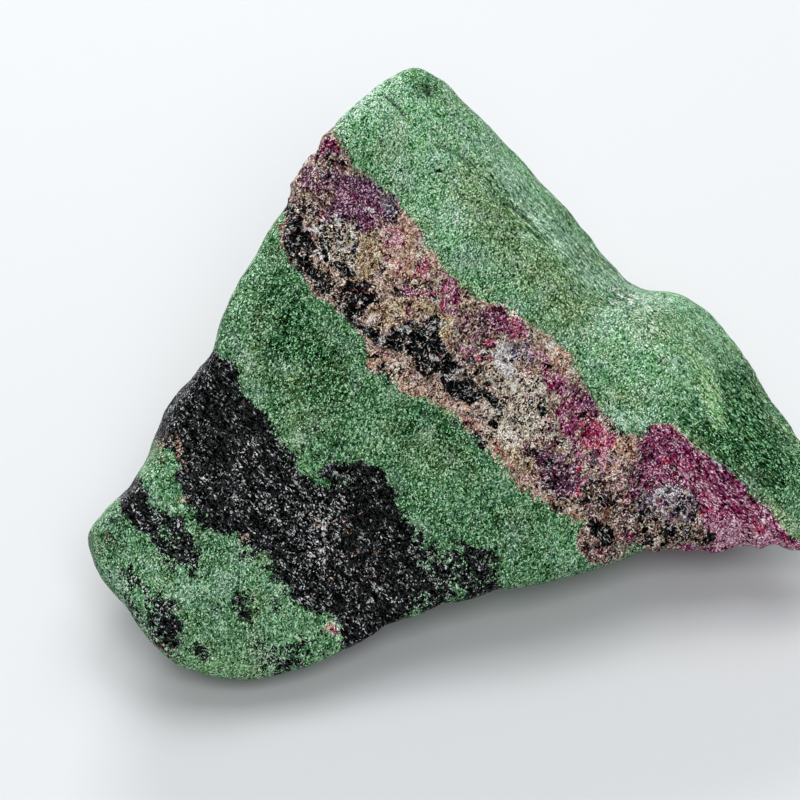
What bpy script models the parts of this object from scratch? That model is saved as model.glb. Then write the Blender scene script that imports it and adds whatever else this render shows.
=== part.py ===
"""Ruby in zoisite: a weathered hand specimen of rock, one solid, in metres with +Z up.

The stone is a rounded block. Its planes are set out in the frame of its broad face, which leans
back and looks up at LEAN above the horizon, towards -Y. Seen square to that face, the block is
stretched to the stone's own outline. Soft swells, the rugged band of ruby, ledges and weathering
come on top, and the underside is cut off flat where the stone rests.
"""

import math
from collections import namedtuple

import bmesh
import bpy
import numpy as np

MM = 0.001
NAME = "ruby_in_zoisite"

# The broad face's frame: ACROSS runs along it, UP climbs it and OUT is square to it.
LEAN = math.radians(50.0)
ACROSS = (1.0, 0.0, 0.0)
UP = (0.0, math.sin(LEAN), math.cos(LEAN))
OUT = (0.0, -math.cos(LEAN), math.sin(LEAN))
FACE_ORIGIN = (-9.5, -1.2, 17.4)  # mm from the middle of the stone's footprint on the floor
CENTRE = (4.8, -2.4, -6.0)  # mm across, up and out: the block's planes are set out from here

# The block's planes: where each looks, as a bearing and a lift in degrees, and how far it lies
# from the centre in mm. On the face's planes the bearing turns from ACROSS towards UP and the
# lift rises towards OUT. On the ground's planes it turns from +X towards +Y and rises towards +Z.
Plane = namedtuple("Plane", "name bearing lift reach")
FACE_PLANES = (
    Plane("broad face", 55.0, 80.0, 12.5),
    Plane("upper slope", 46.0, 66.0, 15.3),
    Plane("steep flank", 42.0, 26.0, 24.2),
    Plane("right shoulder", 5.0, 62.0, 22.0),
    Plane("lobe chamfer", -142.0, 22.0, 41.0),
    Plane("lobe front", -108.0, 20.0, 38.5),
    Plane("crown, left", 132.0, 5.0, 35.0),
    Plane("left rim, high", 152.0, 8.0, 29.5),
    Plane("left rim, low", 144.0, -5.0, 27.5),
    Plane("lobe end", -160.0, -5.0, 45.0),
    Plane("lobe foot", -113.0, -12.0, 39.0),
    Plane("right end", 34.0, -12.0, 36.0),
    Plane("wing tip", -12.0, 0.0, 53.0),
    Plane("wing foot", -86.0, -8.0, 17.5),
    Plane("front foot", -76.0, -8.0, 23.0),
)
GROUND_PLANES = (
    Plane("rest", 0.0, -90.0, 12.7),
    Plane("under the lobe", -122.0, -74.0, 12.6),
    Plane("under the left rim", 170.0, -68.0, 13.8),
    Plane("under the wing", -9.0, -68.0, 14.8),
    Plane("under the back", 90.0, -66.0, 16.0),
    Plane("back wall", 88.0, 10.0, 31.0),
    Plane("back, left", 131.0, -12.0, 26.0),
    Plane("back, right", 49.0, -14.0, 27.0),
)
ROUNDING = 14.0  # a higher power leaves sharper edges between the planes

# The outline square to the broad face, a walk round the stone in mm across and up.
OUTLINE = (
    (1.6, 40.3), (5.4, 38.4), (8.1, 35.5), (12.9, 30.8), (17.3, 26.1), (21.6, 21.6),
    (24.5, 17.6), (27.6, 14.3), (29.8, 13.3), (33.7, 13.0), (37.3, 10.8), (41.0, 6.1),
    (45.1, 0.6), (48.6, -4.7), (52.6, -9.5), (56.0, -13.6), (56.6, -16.6), (53.6, -18.6),
    (48.0, -18.6), (43.6, -17.6), (36.8, -18.4), (32.2, -17.4), (28.4, -18.4), (21.5, -20.8),
    (16.0, -22.1), (11.6, -22.6), (4.9, -24.4), (-1.0, -26.5), (-7.2, -30.0), (-15.0, -32.8),
    (-18.6, -33.4), (-22.2, -32.9), (-25.6, -31.9), (-28.5, -30.3), (-30.9, -28.0),
    (-32.5, -25.2), (-34.7, -22.8), (-36.2, -20.3), (-37.3, -16.8), (-37.2, -15.4),
    (-35.1, -13.1), (-32.8, -10.7), (-30.3, -7.2), (-27.7, -1.2), (-24.2, 2.8), (-21.9, 5.3),
    (-21.6, 7.4), (-20.8, 10.4), (-17.2, 16.6), (-13.3, 23.1), (-9.9, 29.6), (-7.6, 32.6),
    (-3.2, 37.4),
)
OUTLINE_STEPS = 720
OUTLINE_SOFTNESS = math.radians(0.9)
LOOSE_SOFTNESS = math.radians(9.0)  # how softly the sides and the front follow the outline
HOLD = 4  # a higher power lets go of the outline sooner, away from the furthest points
SEARCH_LIFT = 60.0  # degrees either side of the face's plane in which the furthest points lie
SEARCH_STEPS = 81

# Soft rises and hollows of the front: a place in mm across and up, half-lengths in mm along and
# over a line turned from ACROSS, in degrees, and a height in mm.
Swell = namedtuple("Swell", "name across up along over turn height")
SWELLS = (
    Swell("shoulder lump", 34.5, 5.5, 10.0, 8.0, -50.0, 2.6),
    Swell("saddle valley", 24.5, 11.5, 8.0, 3.2, -75.0, -1.7),
    Swell("crest", 9.0, 23.0, 14.0, 3.0, -47.0, 0.7),
    Swell("crease", 10.8, 25.2, 8.5, 1.3, -42.0, -0.7),
    Swell("crown hollow", 0.0, 26.0, 7.0, 9.0, -48.0, -0.9),
    Swell("belly", -12.0, 0.0, 13.0, 11.0, -40.0, 1.2),
    Swell("lobe hump", -22.0, -25.0, 8.0, 6.0, -30.0, 1.6),
    Swell("waist", -25.0, -6.0, 9.0, 4.0, 55.0, -1.3),
    Swell("foot hollow", 1.0, -20.0, 8.0, 4.0, 15.0, -1.2),
    Swell("wing ridge", 42.0, -8.0, 12.0, 3.5, -38.0, 1.5),
)
FRONT_EDGE = 0.25  # the share of a direction that points OUT from which the front is whole

# Lumps of weathering and crystal: a wavelength and a height in mm, and the seed of its pattern.
Lumps = namedtuple("Lumps", "wavelength height seed")
WEATHERING = (Lumps(24.0, 1.5, 3), Lumps(11.0, 0.75, 8), Lumps(5.5, 0.36, 21))

# The rugged band of ruby crosses the front, a little lower than the green rock beside it: its
# middle line in mm across and up with its half-width there.
BAND = (
    (-22.0, 38.0, 4.5), (-9.0, 25.0, 4.6), (-5.0, 19.5, 5.2), (-1.0, 14.5, 6.2),
    (5.5, 8.5, 6.6), (12.0, 2.5, 7.0), (17.5, -4.0, 7.6), (23.0, -10.0, 8.0),
    (31.0, -12.5, 6.5), (40.0, -14.0, 5.0), (52.0, -18.0, 5.0),
)
BAND_DEPTH = 0.5
BAND_EDGE = 1.4
BAND_KNOBS = Lumps(4.6, 0.75, 34)
BAND_WANDER = Lumps(6.0, 1.2, 13)

# Ledges step the surface back by a depth in mm over a width in mm, past a wavering plane of the
# ground's frame at a distance from the centre.
Ledge = namedtuple("Ledge", "name bearing lift distance depth width")
LEDGES = (
    Ledge("back shelf", 100.0, -25.0, 24.5, 1.6, 3.0),
    Ledge("right shelf", 25.0, -30.0, 26.0, 1.4, 2.5),
)
LEDGE_WANDER = Lumps(9.0, 2.0, 5)

SPREAD = (1.3, 1.05, 0.75)  # how far the ball of points is drawn out across, up and out
BALL_CUTS = 7
TRIANGLES = 9300
CUTTER_SIDE = 200.0
CUTTER_DEPTH = 40.0


def unit(bearing, lift):
    """The unit vector at a bearing and a lift in degrees."""
    turn, rise = math.radians(bearing), math.radians(lift)
    return (math.cos(rise) * math.cos(turn), math.cos(rise) * math.sin(turn), math.sin(rise))


def units(planes):
    """One row with the unit vector of each plane."""
    return np.array([unit(plane.bearing, plane.lift) for plane in planes])


def smoothstep(low, high, value):
    """0 below low, 1 above high and a smooth cubic between them."""
    share = np.clip((value - low) / (high - low), 0.0, 1.0)
    return share * share * (3.0 - 2.0 * share)


def lumps(points, form):
    """Gradient noise: at each corner of a lattice sits a random slope, and the eight heights that
    they give at a point are blended by a quintic. Values run to about the form's height."""
    rng = np.random.default_rng(form.seed)
    order = rng.permutation(256)
    slopes = rng.normal(size=(256, 3))
    slopes *= 1.6 * form.height / np.linalg.norm(slopes, axis=1, keepdims=True)
    points = points / form.wavelength
    cell = np.floor(points).astype(int)
    inside = points - cell
    blend = inside ** 3 * (inside * (inside * 6.0 - 15.0) + 10.0)
    total = np.zeros(len(points))
    for corner in np.ndindex(2, 2, 2):
        at = (cell + corner) & 255
        key = order[(order[(order[at[:, 0]] + at[:, 1]) & 255] + at[:, 2]) & 255]
        height = np.sum(slopes[key] * (inside - corner), axis=1)
        total += height * np.where(corner, blend, 1.0 - blend).prod(axis=1)
    return total


def rounded_block(directions):
    """Reach of the block from its centre: (sum over its planes of (n.d / reach)^p)^(-1/p)."""
    to_face = np.array([ACROSS, UP, OUT]).T
    normals = np.vstack([units(FACE_PLANES), units(GROUND_PLANES) @ to_face])
    reach = np.array([plane.reach for plane in FACE_PLANES + GROUND_PLANES])
    facing = np.maximum(directions @ normals.T, 0.0) / reach
    return (facing ** ROUNDING).sum(axis=1) ** (-1.0 / ROUNDING)


def weathered_reach(directions):
    """The block's reach, cut back at its ledges and with the lumps of weathering added."""
    reach = rounded_block(directions)
    points = directions * reach[:, None]
    wander = lumps(points, LEDGE_WANDER)
    for ledge in LEDGES:
        normal = np.array([ACROSS, UP, OUT]) @ unit(ledge.bearing, ledge.lift)
        past = points @ normal - ledge.distance + wander
        reach = reach - ledge.depth * smoothstep(-ledge.width / 2, ledge.width / 2, past)
    return reach + sum(lumps(points, form) for form in WEATHERING)


def softened(values, softness):
    """A closed run of values with its quick changes taken out: each wave is scaled by
    exp(-(wave * softness)^2 / 2)."""
    waves = np.fft.rfftfreq(len(values), d=1.0 / len(values))
    return np.fft.irfft(np.fft.rfft(values) * np.exp(-0.5 * (waves * softness) ** 2), len(values))


def outline_radius():
    """OUTLINE_STEPS even bearings and the distance from the centre to the outline at each."""
    across, up = (np.array(OUTLINE) - CENTRE[:2]).T
    bearing, radius = np.arctan2(up, across), np.hypot(across, up)
    order = np.argsort(bearing)
    turn = np.linspace(-math.pi, math.pi, OUTLINE_STEPS, endpoint=False)
    radius = np.interp(turn, bearing[order], radius[order], period=2 * math.pi)
    return turn, softened(radius, OUTLINE_SOFTNESS)


def stretch_to_outline(points):
    """Scale the points away from the OUT axis so that, at each bearing, the furthest point of
    the whole stone lies on the outline. A point at a share s of that furthest distance follows
    the outline by s^HOLD and a softer scale by the rest, so that a notch in the outline fades
    out over the front and down the sides."""
    turn, target = outline_radius()
    lifts = np.radians(np.linspace(-SEARCH_LIFT, SEARCH_LIFT, SEARCH_STEPS))
    turns, rises = np.meshgrid(turn, lifts, indexing="ij")
    level = np.cos(rises)
    directions = np.stack([level * np.cos(turns), level * np.sin(turns), np.sin(rises)], axis=-1)
    radius = weathered_reach(directions.reshape(-1, 3)).reshape(turns.shape) * level
    furthest = radius.max(axis=1)
    close = target / furthest
    loose = softened(close, LOOSE_SOFTNESS)
    bearing = np.arctan2(points[:, 1], points[:, 0])
    limit = np.interp(bearing, turn, furthest, period=2 * math.pi)
    share = (np.hypot(points[:, 0], points[:, 1]) / limit) ** HOLD
    close = np.interp(bearing, turn, close, period=2 * math.pi)
    loose = np.interp(bearing, turn, loose, period=2 * math.pi)
    scale = loose + share * (close - loose)
    return points * np.stack([scale, scale, np.ones_like(scale)], axis=1)


def swell(points, form):
    """A smooth hill or hollow: height * exp(-(s / along)^2 - (t / over)^2) on turned axes."""
    turn = math.radians(form.turn)
    across, up = points[:, 0] - form.across, points[:, 1] - form.up
    along = across * math.cos(turn) + up * math.sin(turn)
    over = up * math.cos(turn) - across * math.sin(turn)
    return form.height * np.exp(-((along / form.along) ** 2) - (over / form.over) ** 2)


def band_share(points):
    """1 inside the band of ruby and 0 outside, easing over BAND_EDGE. The band is the union of
    the tapered capsules between the points of its middle line, with a wandering edge."""
    nearest = np.full(len(points), np.inf)
    for (x0, y0, wide0), (x1, y1, wide1) in zip(BAND, BAND[1:]):
        start, run = np.array([x0, y0]), np.array([x1 - x0, y1 - y0])
        place = np.clip((points[:, :2] - start) @ run / (run @ run), 0.0, 1.0)
        gap = np.linalg.norm(points[:, :2] - start - place[:, None] * run, axis=1)
        nearest = np.minimum(nearest, gap - (wide0 + place * (wide1 - wide0)))
    return 1.0 - smoothstep(-BAND_EDGE, BAND_EDGE, nearest + lumps(points, BAND_WANDER))


def stone_surface(directions):
    """Each direction's point on the stone, in mm across, up and out from the face's origin."""
    points = stretch_to_outline(directions * weathered_reach(directions)[:, None]) + CENTRE
    rise = sum(swell(points, form) for form in SWELLS)
    rise += band_share(points) * (lumps(points, BAND_KNOBS) - BAND_DEPTH)
    points[:, 2] += rise * smoothstep(0.0, FRONT_EDGE, directions[:, 2])
    return points


def stone_body():
    """The stone as a mesh: a ball of points drawn out to the block's proportions, each moved to
    its place on the surface and turned into the world."""
    bm = bmesh.new()
    bmesh.ops.create_icosphere(bm, subdivisions=BALL_CUTS, radius=1.0)
    mesh = bpy.data.meshes.new(NAME)
    bm.to_mesh(mesh)
    bm.free()
    ball = np.empty(len(mesh.vertices) * 3, dtype=np.float32)
    mesh.vertices.foreach_get("co", ball)
    directions = ball.reshape(-1, 3).astype(float) * SPREAD
    directions /= np.linalg.norm(directions, axis=1, keepdims=True)
    world = stone_surface(directions) @ np.array([ACROSS, UP, OUT]) + FACE_ORIGIN
    mesh.vertices.foreach_set("co", (world * MM).astype(np.float32).ravel())
    mesh.update()
    mesh.shade_smooth()
    return bpy.data.objects.new(NAME, mesh)


def rest_cutter():
    """The block below the floor that takes the underside off flat, where the stone rests."""
    bpy.ops.mesh.primitive_cube_add(size=1.0, location=(0.0, 0.0, -CUTTER_DEPTH / 2 * MM))
    cutter = bpy.context.object
    cutter.name = "rest_cutter"
    cutter.scale = (CUTTER_SIDE * MM, CUTTER_SIDE * MM, CUTTER_DEPTH * MM)
    cutter.hide_render = True
    cutter.display_type = "WIRE"
    return cutter


def zoisite_rock():
    """Weathered green rock with a soft lustre."""
    material = bpy.data.materials.new("zoisite_rock")
    material.use_nodes = True
    shader = material.node_tree.nodes["Principled BSDF"]
    shader.inputs["Base Color"].default_value = (0.11, 0.20, 0.11, 1.0)
    shader.inputs["Roughness"].default_value = 0.5
    shader.inputs["Metallic"].default_value = 0.0
    return material


def move_to(obj, collection):
    """Keep an object in one collection alone."""
    for other in list(obj.users_collection):
        other.objects.unlink(obj)
    collection.objects.link(obj)


def main():
    """Build the stone in a collection of its own, with its cutter in another."""
    for obj in list(bpy.data.objects):
        bpy.data.objects.remove(obj, do_unlink=True)
    parts = bpy.data.collections.new("ruby in zoisite")
    cutters = bpy.data.collections.new("cutters")
    bpy.context.scene.collection.children.link(parts)
    bpy.context.scene.collection.children.link(cutters)

    stone = stone_body()
    move_to(stone, parts)
    stone.data.materials.append(zoisite_rock())
    cutter = rest_cutter()
    move_to(cutter, cutters)

    thin = stone.modifiers.new("thin", "DECIMATE")
    thin.ratio = TRIANGLES / len(stone.data.polygons)
    flat = stone.modifiers.new("flat rest", "BOOLEAN")
    flat.operation = "DIFFERENCE"
    flat.solver = "EXACT"
    flat.object = cutter


main()
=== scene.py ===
"""Ruby in zoisite: the looks of a weathered hand specimen of rock, in metres with +Z up.

The stone is one mesh that stands for the plain solid. Its form is worked out in the frame of its
broad face, which leans back and looks up towards -Y: a rounded block, stretched to the stone's own
outline, with soft swells, the rugged band of ruby, ledges, weathering and the fine relief of its
grains. Each mineral is drawn on the face as patches, streaks and spots that dip through the rock.
The share of the grains that each takes is kept on the mesh as an attribute, and the material
decides it grain by grain.
"""

import logging
import math
from collections.abc import Callable
from dataclasses import dataclass
from enum import Enum
from functools import partial

import bpy
import numpy as np
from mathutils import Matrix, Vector


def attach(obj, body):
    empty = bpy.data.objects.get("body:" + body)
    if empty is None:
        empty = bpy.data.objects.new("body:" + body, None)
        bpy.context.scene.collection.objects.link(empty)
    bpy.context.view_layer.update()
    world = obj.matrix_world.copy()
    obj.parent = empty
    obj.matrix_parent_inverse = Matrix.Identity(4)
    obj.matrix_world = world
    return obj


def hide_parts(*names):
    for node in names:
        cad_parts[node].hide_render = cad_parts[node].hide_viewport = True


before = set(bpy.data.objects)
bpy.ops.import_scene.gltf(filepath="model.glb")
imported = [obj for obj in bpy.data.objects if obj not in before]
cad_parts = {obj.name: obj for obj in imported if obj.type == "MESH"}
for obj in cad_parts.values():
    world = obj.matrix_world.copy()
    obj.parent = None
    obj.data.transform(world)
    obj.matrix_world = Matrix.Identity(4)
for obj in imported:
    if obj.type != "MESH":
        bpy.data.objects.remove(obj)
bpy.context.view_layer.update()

Array = np.ndarray
Point = tuple[float, float]

MM = 0.001
NODE = "ruby_in_zoisite"
PIECE = "ruby_in_zoisite_stone"
STEEPNESS = 1.6  # the slope of a lump that is 1 high and 1 long


# ---------------------------------------------------------------------------------------------
# Small mathematics
# ---------------------------------------------------------------------------------------------


def smoothstep(low: float, high: float, value: Array) -> Array:
    """A smooth step: 0 below low, 1 above high and the cubic s^2 (3 - 2 s) between them.

    Args:
        low: where the step starts.
        high: where the step ends.
        value: the values to be turned into shares.

    Returns:
        A share between 0 and 1 for each value.
    """
    share = np.clip((value - low) / (high - low), 0.0, 1.0)
    return share * share * (3.0 - 2.0 * share)


def softened(values: Array, softness: float) -> Array:
    """A closed run of values without its quick changes: wave w scaled by exp(-(w softness)^2 / 2).

    Args:
        values: evenly spaced values round a full turn.
        softness: the width of the smoothing, in radians.

    Returns:
        The smoothed run, as long as the one given.
    """
    waves = np.fft.rfftfreq(len(values), d=1.0 / len(values))
    return np.fft.irfft(np.fft.rfft(values) * np.exp(-0.5 * (waves * softness) ** 2), len(values))


def unit(bearing: float, lift: float) -> Array:
    """The unit vector at a bearing and a lift, both in degrees."""
    turn, rise = math.radians(bearing), math.radians(lift)
    level = math.cos(rise)
    return np.array([level * math.cos(turn), level * math.sin(turn), math.sin(rise)])


def from_run(points: Array, start: Array, end: Array) -> tuple[Array, Array]:
    """The nearest place on a straight run: p = clip((x - a).(b - a) / |b - a|^2, 0, 1).

    Args:
        points: rows of mm across and up.
        start: where the run begins.
        end: where it ends.

    Returns:
        How far each point lies from that place, in mm, and the place's share of the run.
    """
    run = end - start
    place = np.clip((points - start) @ run / (run @ run), 0.0, 1.0)
    return np.linalg.norm(points - start - place[:, None] * run, axis=1), place


@dataclass(frozen=True)
class Lumps:
    """Soft random lumps of one size.

    Attributes:
        wavelength: from one lump to the next, in mm.
        height: about how high they reach, in mm.
        seed: which of the patterns of that size this is.
    """

    wavelength: float
    height: float
    seed: int

    def at(self, points: Array) -> Array:
        """Gradient noise: each corner of a lattice has a random slope, and the eight heights that
        these give at a point are blended by the quintic 6 t^5 - 15 t^4 + 10 t^3.

        Args:
            points: rows of x, y and z in mm.

        Returns:
            A height in mm for each point.
        """
        rng = np.random.default_rng(self.seed)
        order = rng.permutation(256)
        slopes = rng.normal(size=(256, 3))
        slopes *= STEEPNESS * self.height / np.linalg.norm(slopes, axis=1, keepdims=True)
        points = points / self.wavelength
        cell = np.floor(points).astype(int)
        inside = points - cell
        blend = inside**3 * (inside * (inside * 6.0 - 15.0) + 10.0)
        total = np.zeros(len(points))
        for corner in np.ndindex(2, 2, 2):
            at = (cell + corner) & 255
            key = order[(order[(order[at[:, 0]] + at[:, 1]) & 255] + at[:, 2]) & 255]
            height = np.sum(slopes[key] * (inside - corner), axis=1)
            total += height * np.where(corner, blend, 1.0 - blend).prod(axis=1)
        return total


def summed(forms: tuple, points: Array) -> Array:
    """The sum of what several forms, such as lumps or swells, give at each point."""
    return sum(form.at(points) for form in forms)


# ---------------------------------------------------------------------------------------------
# The stone's form
# ---------------------------------------------------------------------------------------------


@dataclass(frozen=True)
class FaceFrame:
    """The frame of the stone's broad face: across it, up it and out of it.

    Attributes:
        lean: how far above the horizon the face looks, in radians.
        origin: the middle of the frame, in mm from the middle of the stone's footprint.
    """

    lean: float = math.radians(50.0)
    origin: tuple[float, float, float] = (-9.5, -1.2, 17.4)

    @property
    def axes(self) -> Array:
        """One row each for across, up and out, as unit vectors of the world."""
        sine, cosine = math.sin(self.lean), math.cos(self.lean)
        return np.array([(1.0, 0.0, 0.0), (0.0, sine, cosine), (0.0, -cosine, sine)])

    def to_world(self, points: Array) -> Array:
        """Points of this frame as points of the world, both in mm."""
        return points @ self.axes + self.origin

    def to_face(self, points: Array) -> Array:
        """Points of the world as points of this frame, both in mm."""
        return (points - self.origin) @ self.axes.T


FACE = FaceFrame()


@dataclass(frozen=True)
class Plane:
    """One plane of the block.

    Attributes:
        name: which side of the stone it makes.
        bearing: where it looks, in degrees from across towards up, or from +X towards +Y.
        lift: how far it looks out of the face, or up, in degrees.
        reach: how far it lies from the block's centre, in mm.
    """

    name: str
    bearing: float
    lift: float
    reach: float


@dataclass(frozen=True)
class Ledge(Plane):
    """A step back in the surface, past a wavering plane of the world.

    Attributes:
        depth: how far the surface steps back, in mm.
        width: over what width it does so, in mm.
    """

    depth: float
    width: float


@dataclass(frozen=True)
class Swell:
    """A soft rise or hollow of the front: height * exp(-(s / along)^2 - (t / over)^2).

    Attributes:
        name: what it makes.
        across: its middle, in mm across the face.
        up: its middle, in mm up the face.
        along: its half-length, in mm.
        over: its half-width, in mm.
        turn: how far its length is turned from across, in degrees.
        height: how far it rises, in mm, or whatever else it adds.
    """

    name: str
    across: float
    up: float
    along: float
    over: float
    turn: float
    height: float

    def at(self, points: Array) -> Array:
        """The rise at each point, whose first two columns are mm across and up."""
        turn = math.radians(self.turn)
        across, up = points[:, 0] - self.across, points[:, 1] - self.up
        along = across * math.cos(turn) + up * math.sin(turn)
        over = up * math.cos(turn) - across * math.sin(turn)
        return self.height * np.exp(-((along / self.along) ** 2) - (over / self.over) ** 2)


# The block's planes, in the frame of the face and in the world's.
FACE_PLANES = (
    Plane("broad face", 55.0, 80.0, 12.5),
    Plane("upper slope", 46.0, 66.0, 15.3),
    Plane("steep flank", 42.0, 26.0, 24.2),
    Plane("right shoulder", 5.0, 62.0, 22.0),
    Plane("lobe chamfer", -142.0, 22.0, 41.0),
    Plane("lobe front", -108.0, 20.0, 38.5),
    Plane("crown, left", 132.0, 5.0, 35.0),
    Plane("left rim, high", 152.0, 8.0, 29.5),
    Plane("left rim, low", 144.0, -5.0, 27.5),
    Plane("lobe end", -160.0, -5.0, 45.0),
    Plane("lobe foot", -113.0, -12.0, 39.0),
    Plane("right end", 34.0, -12.0, 36.0),
    Plane("wing tip", -12.0, 0.0, 53.0),
    Plane("wing foot", -86.0, -8.0, 17.5),
    Plane("front foot", -76.0, -8.0, 23.0),
)
GROUND_PLANES = (
    Plane("rest", 0.0, -90.0, 12.7),
    Plane("under the lobe", -122.0, -74.0, 12.6),
    Plane("under the left rim", 170.0, -68.0, 13.8),
    Plane("under the wing", -9.0, -68.0, 14.8),
    Plane("under the back", 90.0, -66.0, 16.0),
    Plane("back wall", 88.0, 10.0, 31.0),
    Plane("back, left", 131.0, -12.0, 26.0),
    Plane("back, right", 49.0, -14.0, 27.0),
)
# The edge of the stone as the face shows it: mm across and up, walked clockwise from the crown.
OUTLINE = (
    (1.6, 40.3), (5.4, 38.4), (8.1, 35.5), (12.9, 30.8), (17.3, 26.1), (21.6, 21.6), (24.5, 17.6),
    (27.6, 14.3), (29.8, 13.3), (33.7, 13.0), (37.3, 10.8), (41.0, 6.1), (44.6, 0.3), (48.0, -5.0),
    (52.6, -9.5), (56.0, -13.6), (56.6, -16.6), (53.6, -18.6), (48.0, -18.2), (43.6, -17.2),
    (39.4, -17.6), (37.6, -18.4), (34.8, -18.2), (32.8, -17.2), (28.4, -18.2), (21.5, -20.8),
    (16.0, -22.1), (11.6, -22.6), (4.9, -24.4), (-1.0, -26.5), (-7.2, -30.0), (-15.0, -32.8),
    (-18.6, -33.4), (-22.2, -32.9), (-25.6, -31.9), (-28.3, -30.1), (-30.6, -27.8), (-32.2, -25.0),
    (-34.4, -22.6), (-36.2, -20.3), (-37.3, -16.8), (-37.2, -15.4), (-35.1, -13.1), (-32.8, -10.7),
    (-30.3, -7.2), (-28.1, -1.0), (-24.6, 3.1), (-22.4, 5.6), (-21.9, 7.5), (-21.0, 10.5),
    (-17.5, 16.8), (-13.6, 23.3), (-10.1, 29.8), (-7.9, 32.9), (-3.2, 37.4),
)
# The soft rises and hollows of the front.
SWELLS = (
    Swell("shoulder lump", 34.5, 5.5, 10.0, 8.0, -50.0, 2.6),
    Swell("saddle valley", 24.5, 11.5, 8.0, 3.2, -75.0, -1.7),
    Swell("crest", 9.0, 23.0, 14.0, 3.0, -47.0, 0.7),
    Swell("crease", 10.8, 25.2, 8.5, 1.3, -42.0, -0.7),
    Swell("crown hollow", 0.0, 26.0, 7.0, 9.0, -48.0, -0.9),
    Swell("belly", -12.0, 0.0, 13.0, 11.0, -40.0, 1.2),
    Swell("lobe hump", -22.0, -25.0, 8.0, 6.0, -30.0, 1.6),
    Swell("waist", -25.0, -6.0, 9.0, 4.0, 55.0, -1.3),
    Swell("foot hollow", 1.0, -20.0, 8.0, 4.0, 15.0, -1.2),
    Swell("wing ridge", 42.0, -8.0, 12.0, 3.5, -38.0, 1.5),
    Swell("flank crack, high", 6.6, 29.5, 3.0, 0.45, -29.0, -0.3),
    Swell("flank crack, low", 15.6, 20.9, 3.6, 0.45, -40.0, -0.35),
    Swell("crown crack", -0.6, 35.4, 1.8, 0.4, -45.0, -0.3),
)
# The steps of the broken back and right side.
LEDGES = (
    Ledge("back shelf", 100.0, -25.0, 24.5, 1.6, 3.0),
    Ledge("right shelf", 25.0, -30.0, 26.0, 1.4, 2.5),
)


@dataclass(frozen=True)
class BandForm:
    """The rugged band of ruby, a little lower than the green rock beside it.

    Attributes:
        line: its middle line, in mm across and up, with its half-width there.
        depth: how far it lies below the rock beside it, in mm.
        edge: over what distance it falls to that, in mm.
        knobs: the knobs of ruby and feldspar on it.
        wander: how its edge wanders.
    """

    line: tuple[tuple[float, float, float], ...] = (
        (-22.0, 38.0, 4.5), (-9.0, 25.0, 4.6), (-5.0, 19.5, 5.2), (-1.0, 14.5, 6.2),
        (5.5, 8.5, 6.6), (12.0, 2.5, 7.0), (17.5, -4.0, 7.6), (23.0, -10.0, 8.0),
        (31.0, -12.5, 6.5), (40.0, -14.0, 5.0), (52.0, -18.0, 5.0),
    )
    depth: float = 0.5
    edge: float = 1.4
    knobs: Lumps = Lumps(4.6, 0.75, 34)
    wander: Lumps = Lumps(6.0, 1.2, 13)

    def share(self, points: Array) -> Array:
        """1 inside the band and 0 outside. The band is the union of the tapered capsules between
        the points of its middle line: for each, the distance to the run less the half-width.

        Args:
            points: rows of mm across, up and out.

        Returns:
            The share of the band at each point.
        """
        nearest = np.full(len(points), np.inf)
        line = np.array(self.line)
        for start, end in zip(line, line[1:]):
            gap, place = from_run(points[:, :2], start[:2], end[:2])
            nearest = np.minimum(nearest, gap - (start[2] + place * (end[2] - start[2])))
        return 1.0 - smoothstep(-self.edge, self.edge, nearest + self.wander.at(points))

    def rise(self, points: Array) -> Array:
        """How far the band stands above or below the smooth face, in mm."""
        return self.share(points) * (self.knobs.at(points) - self.depth)


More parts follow.
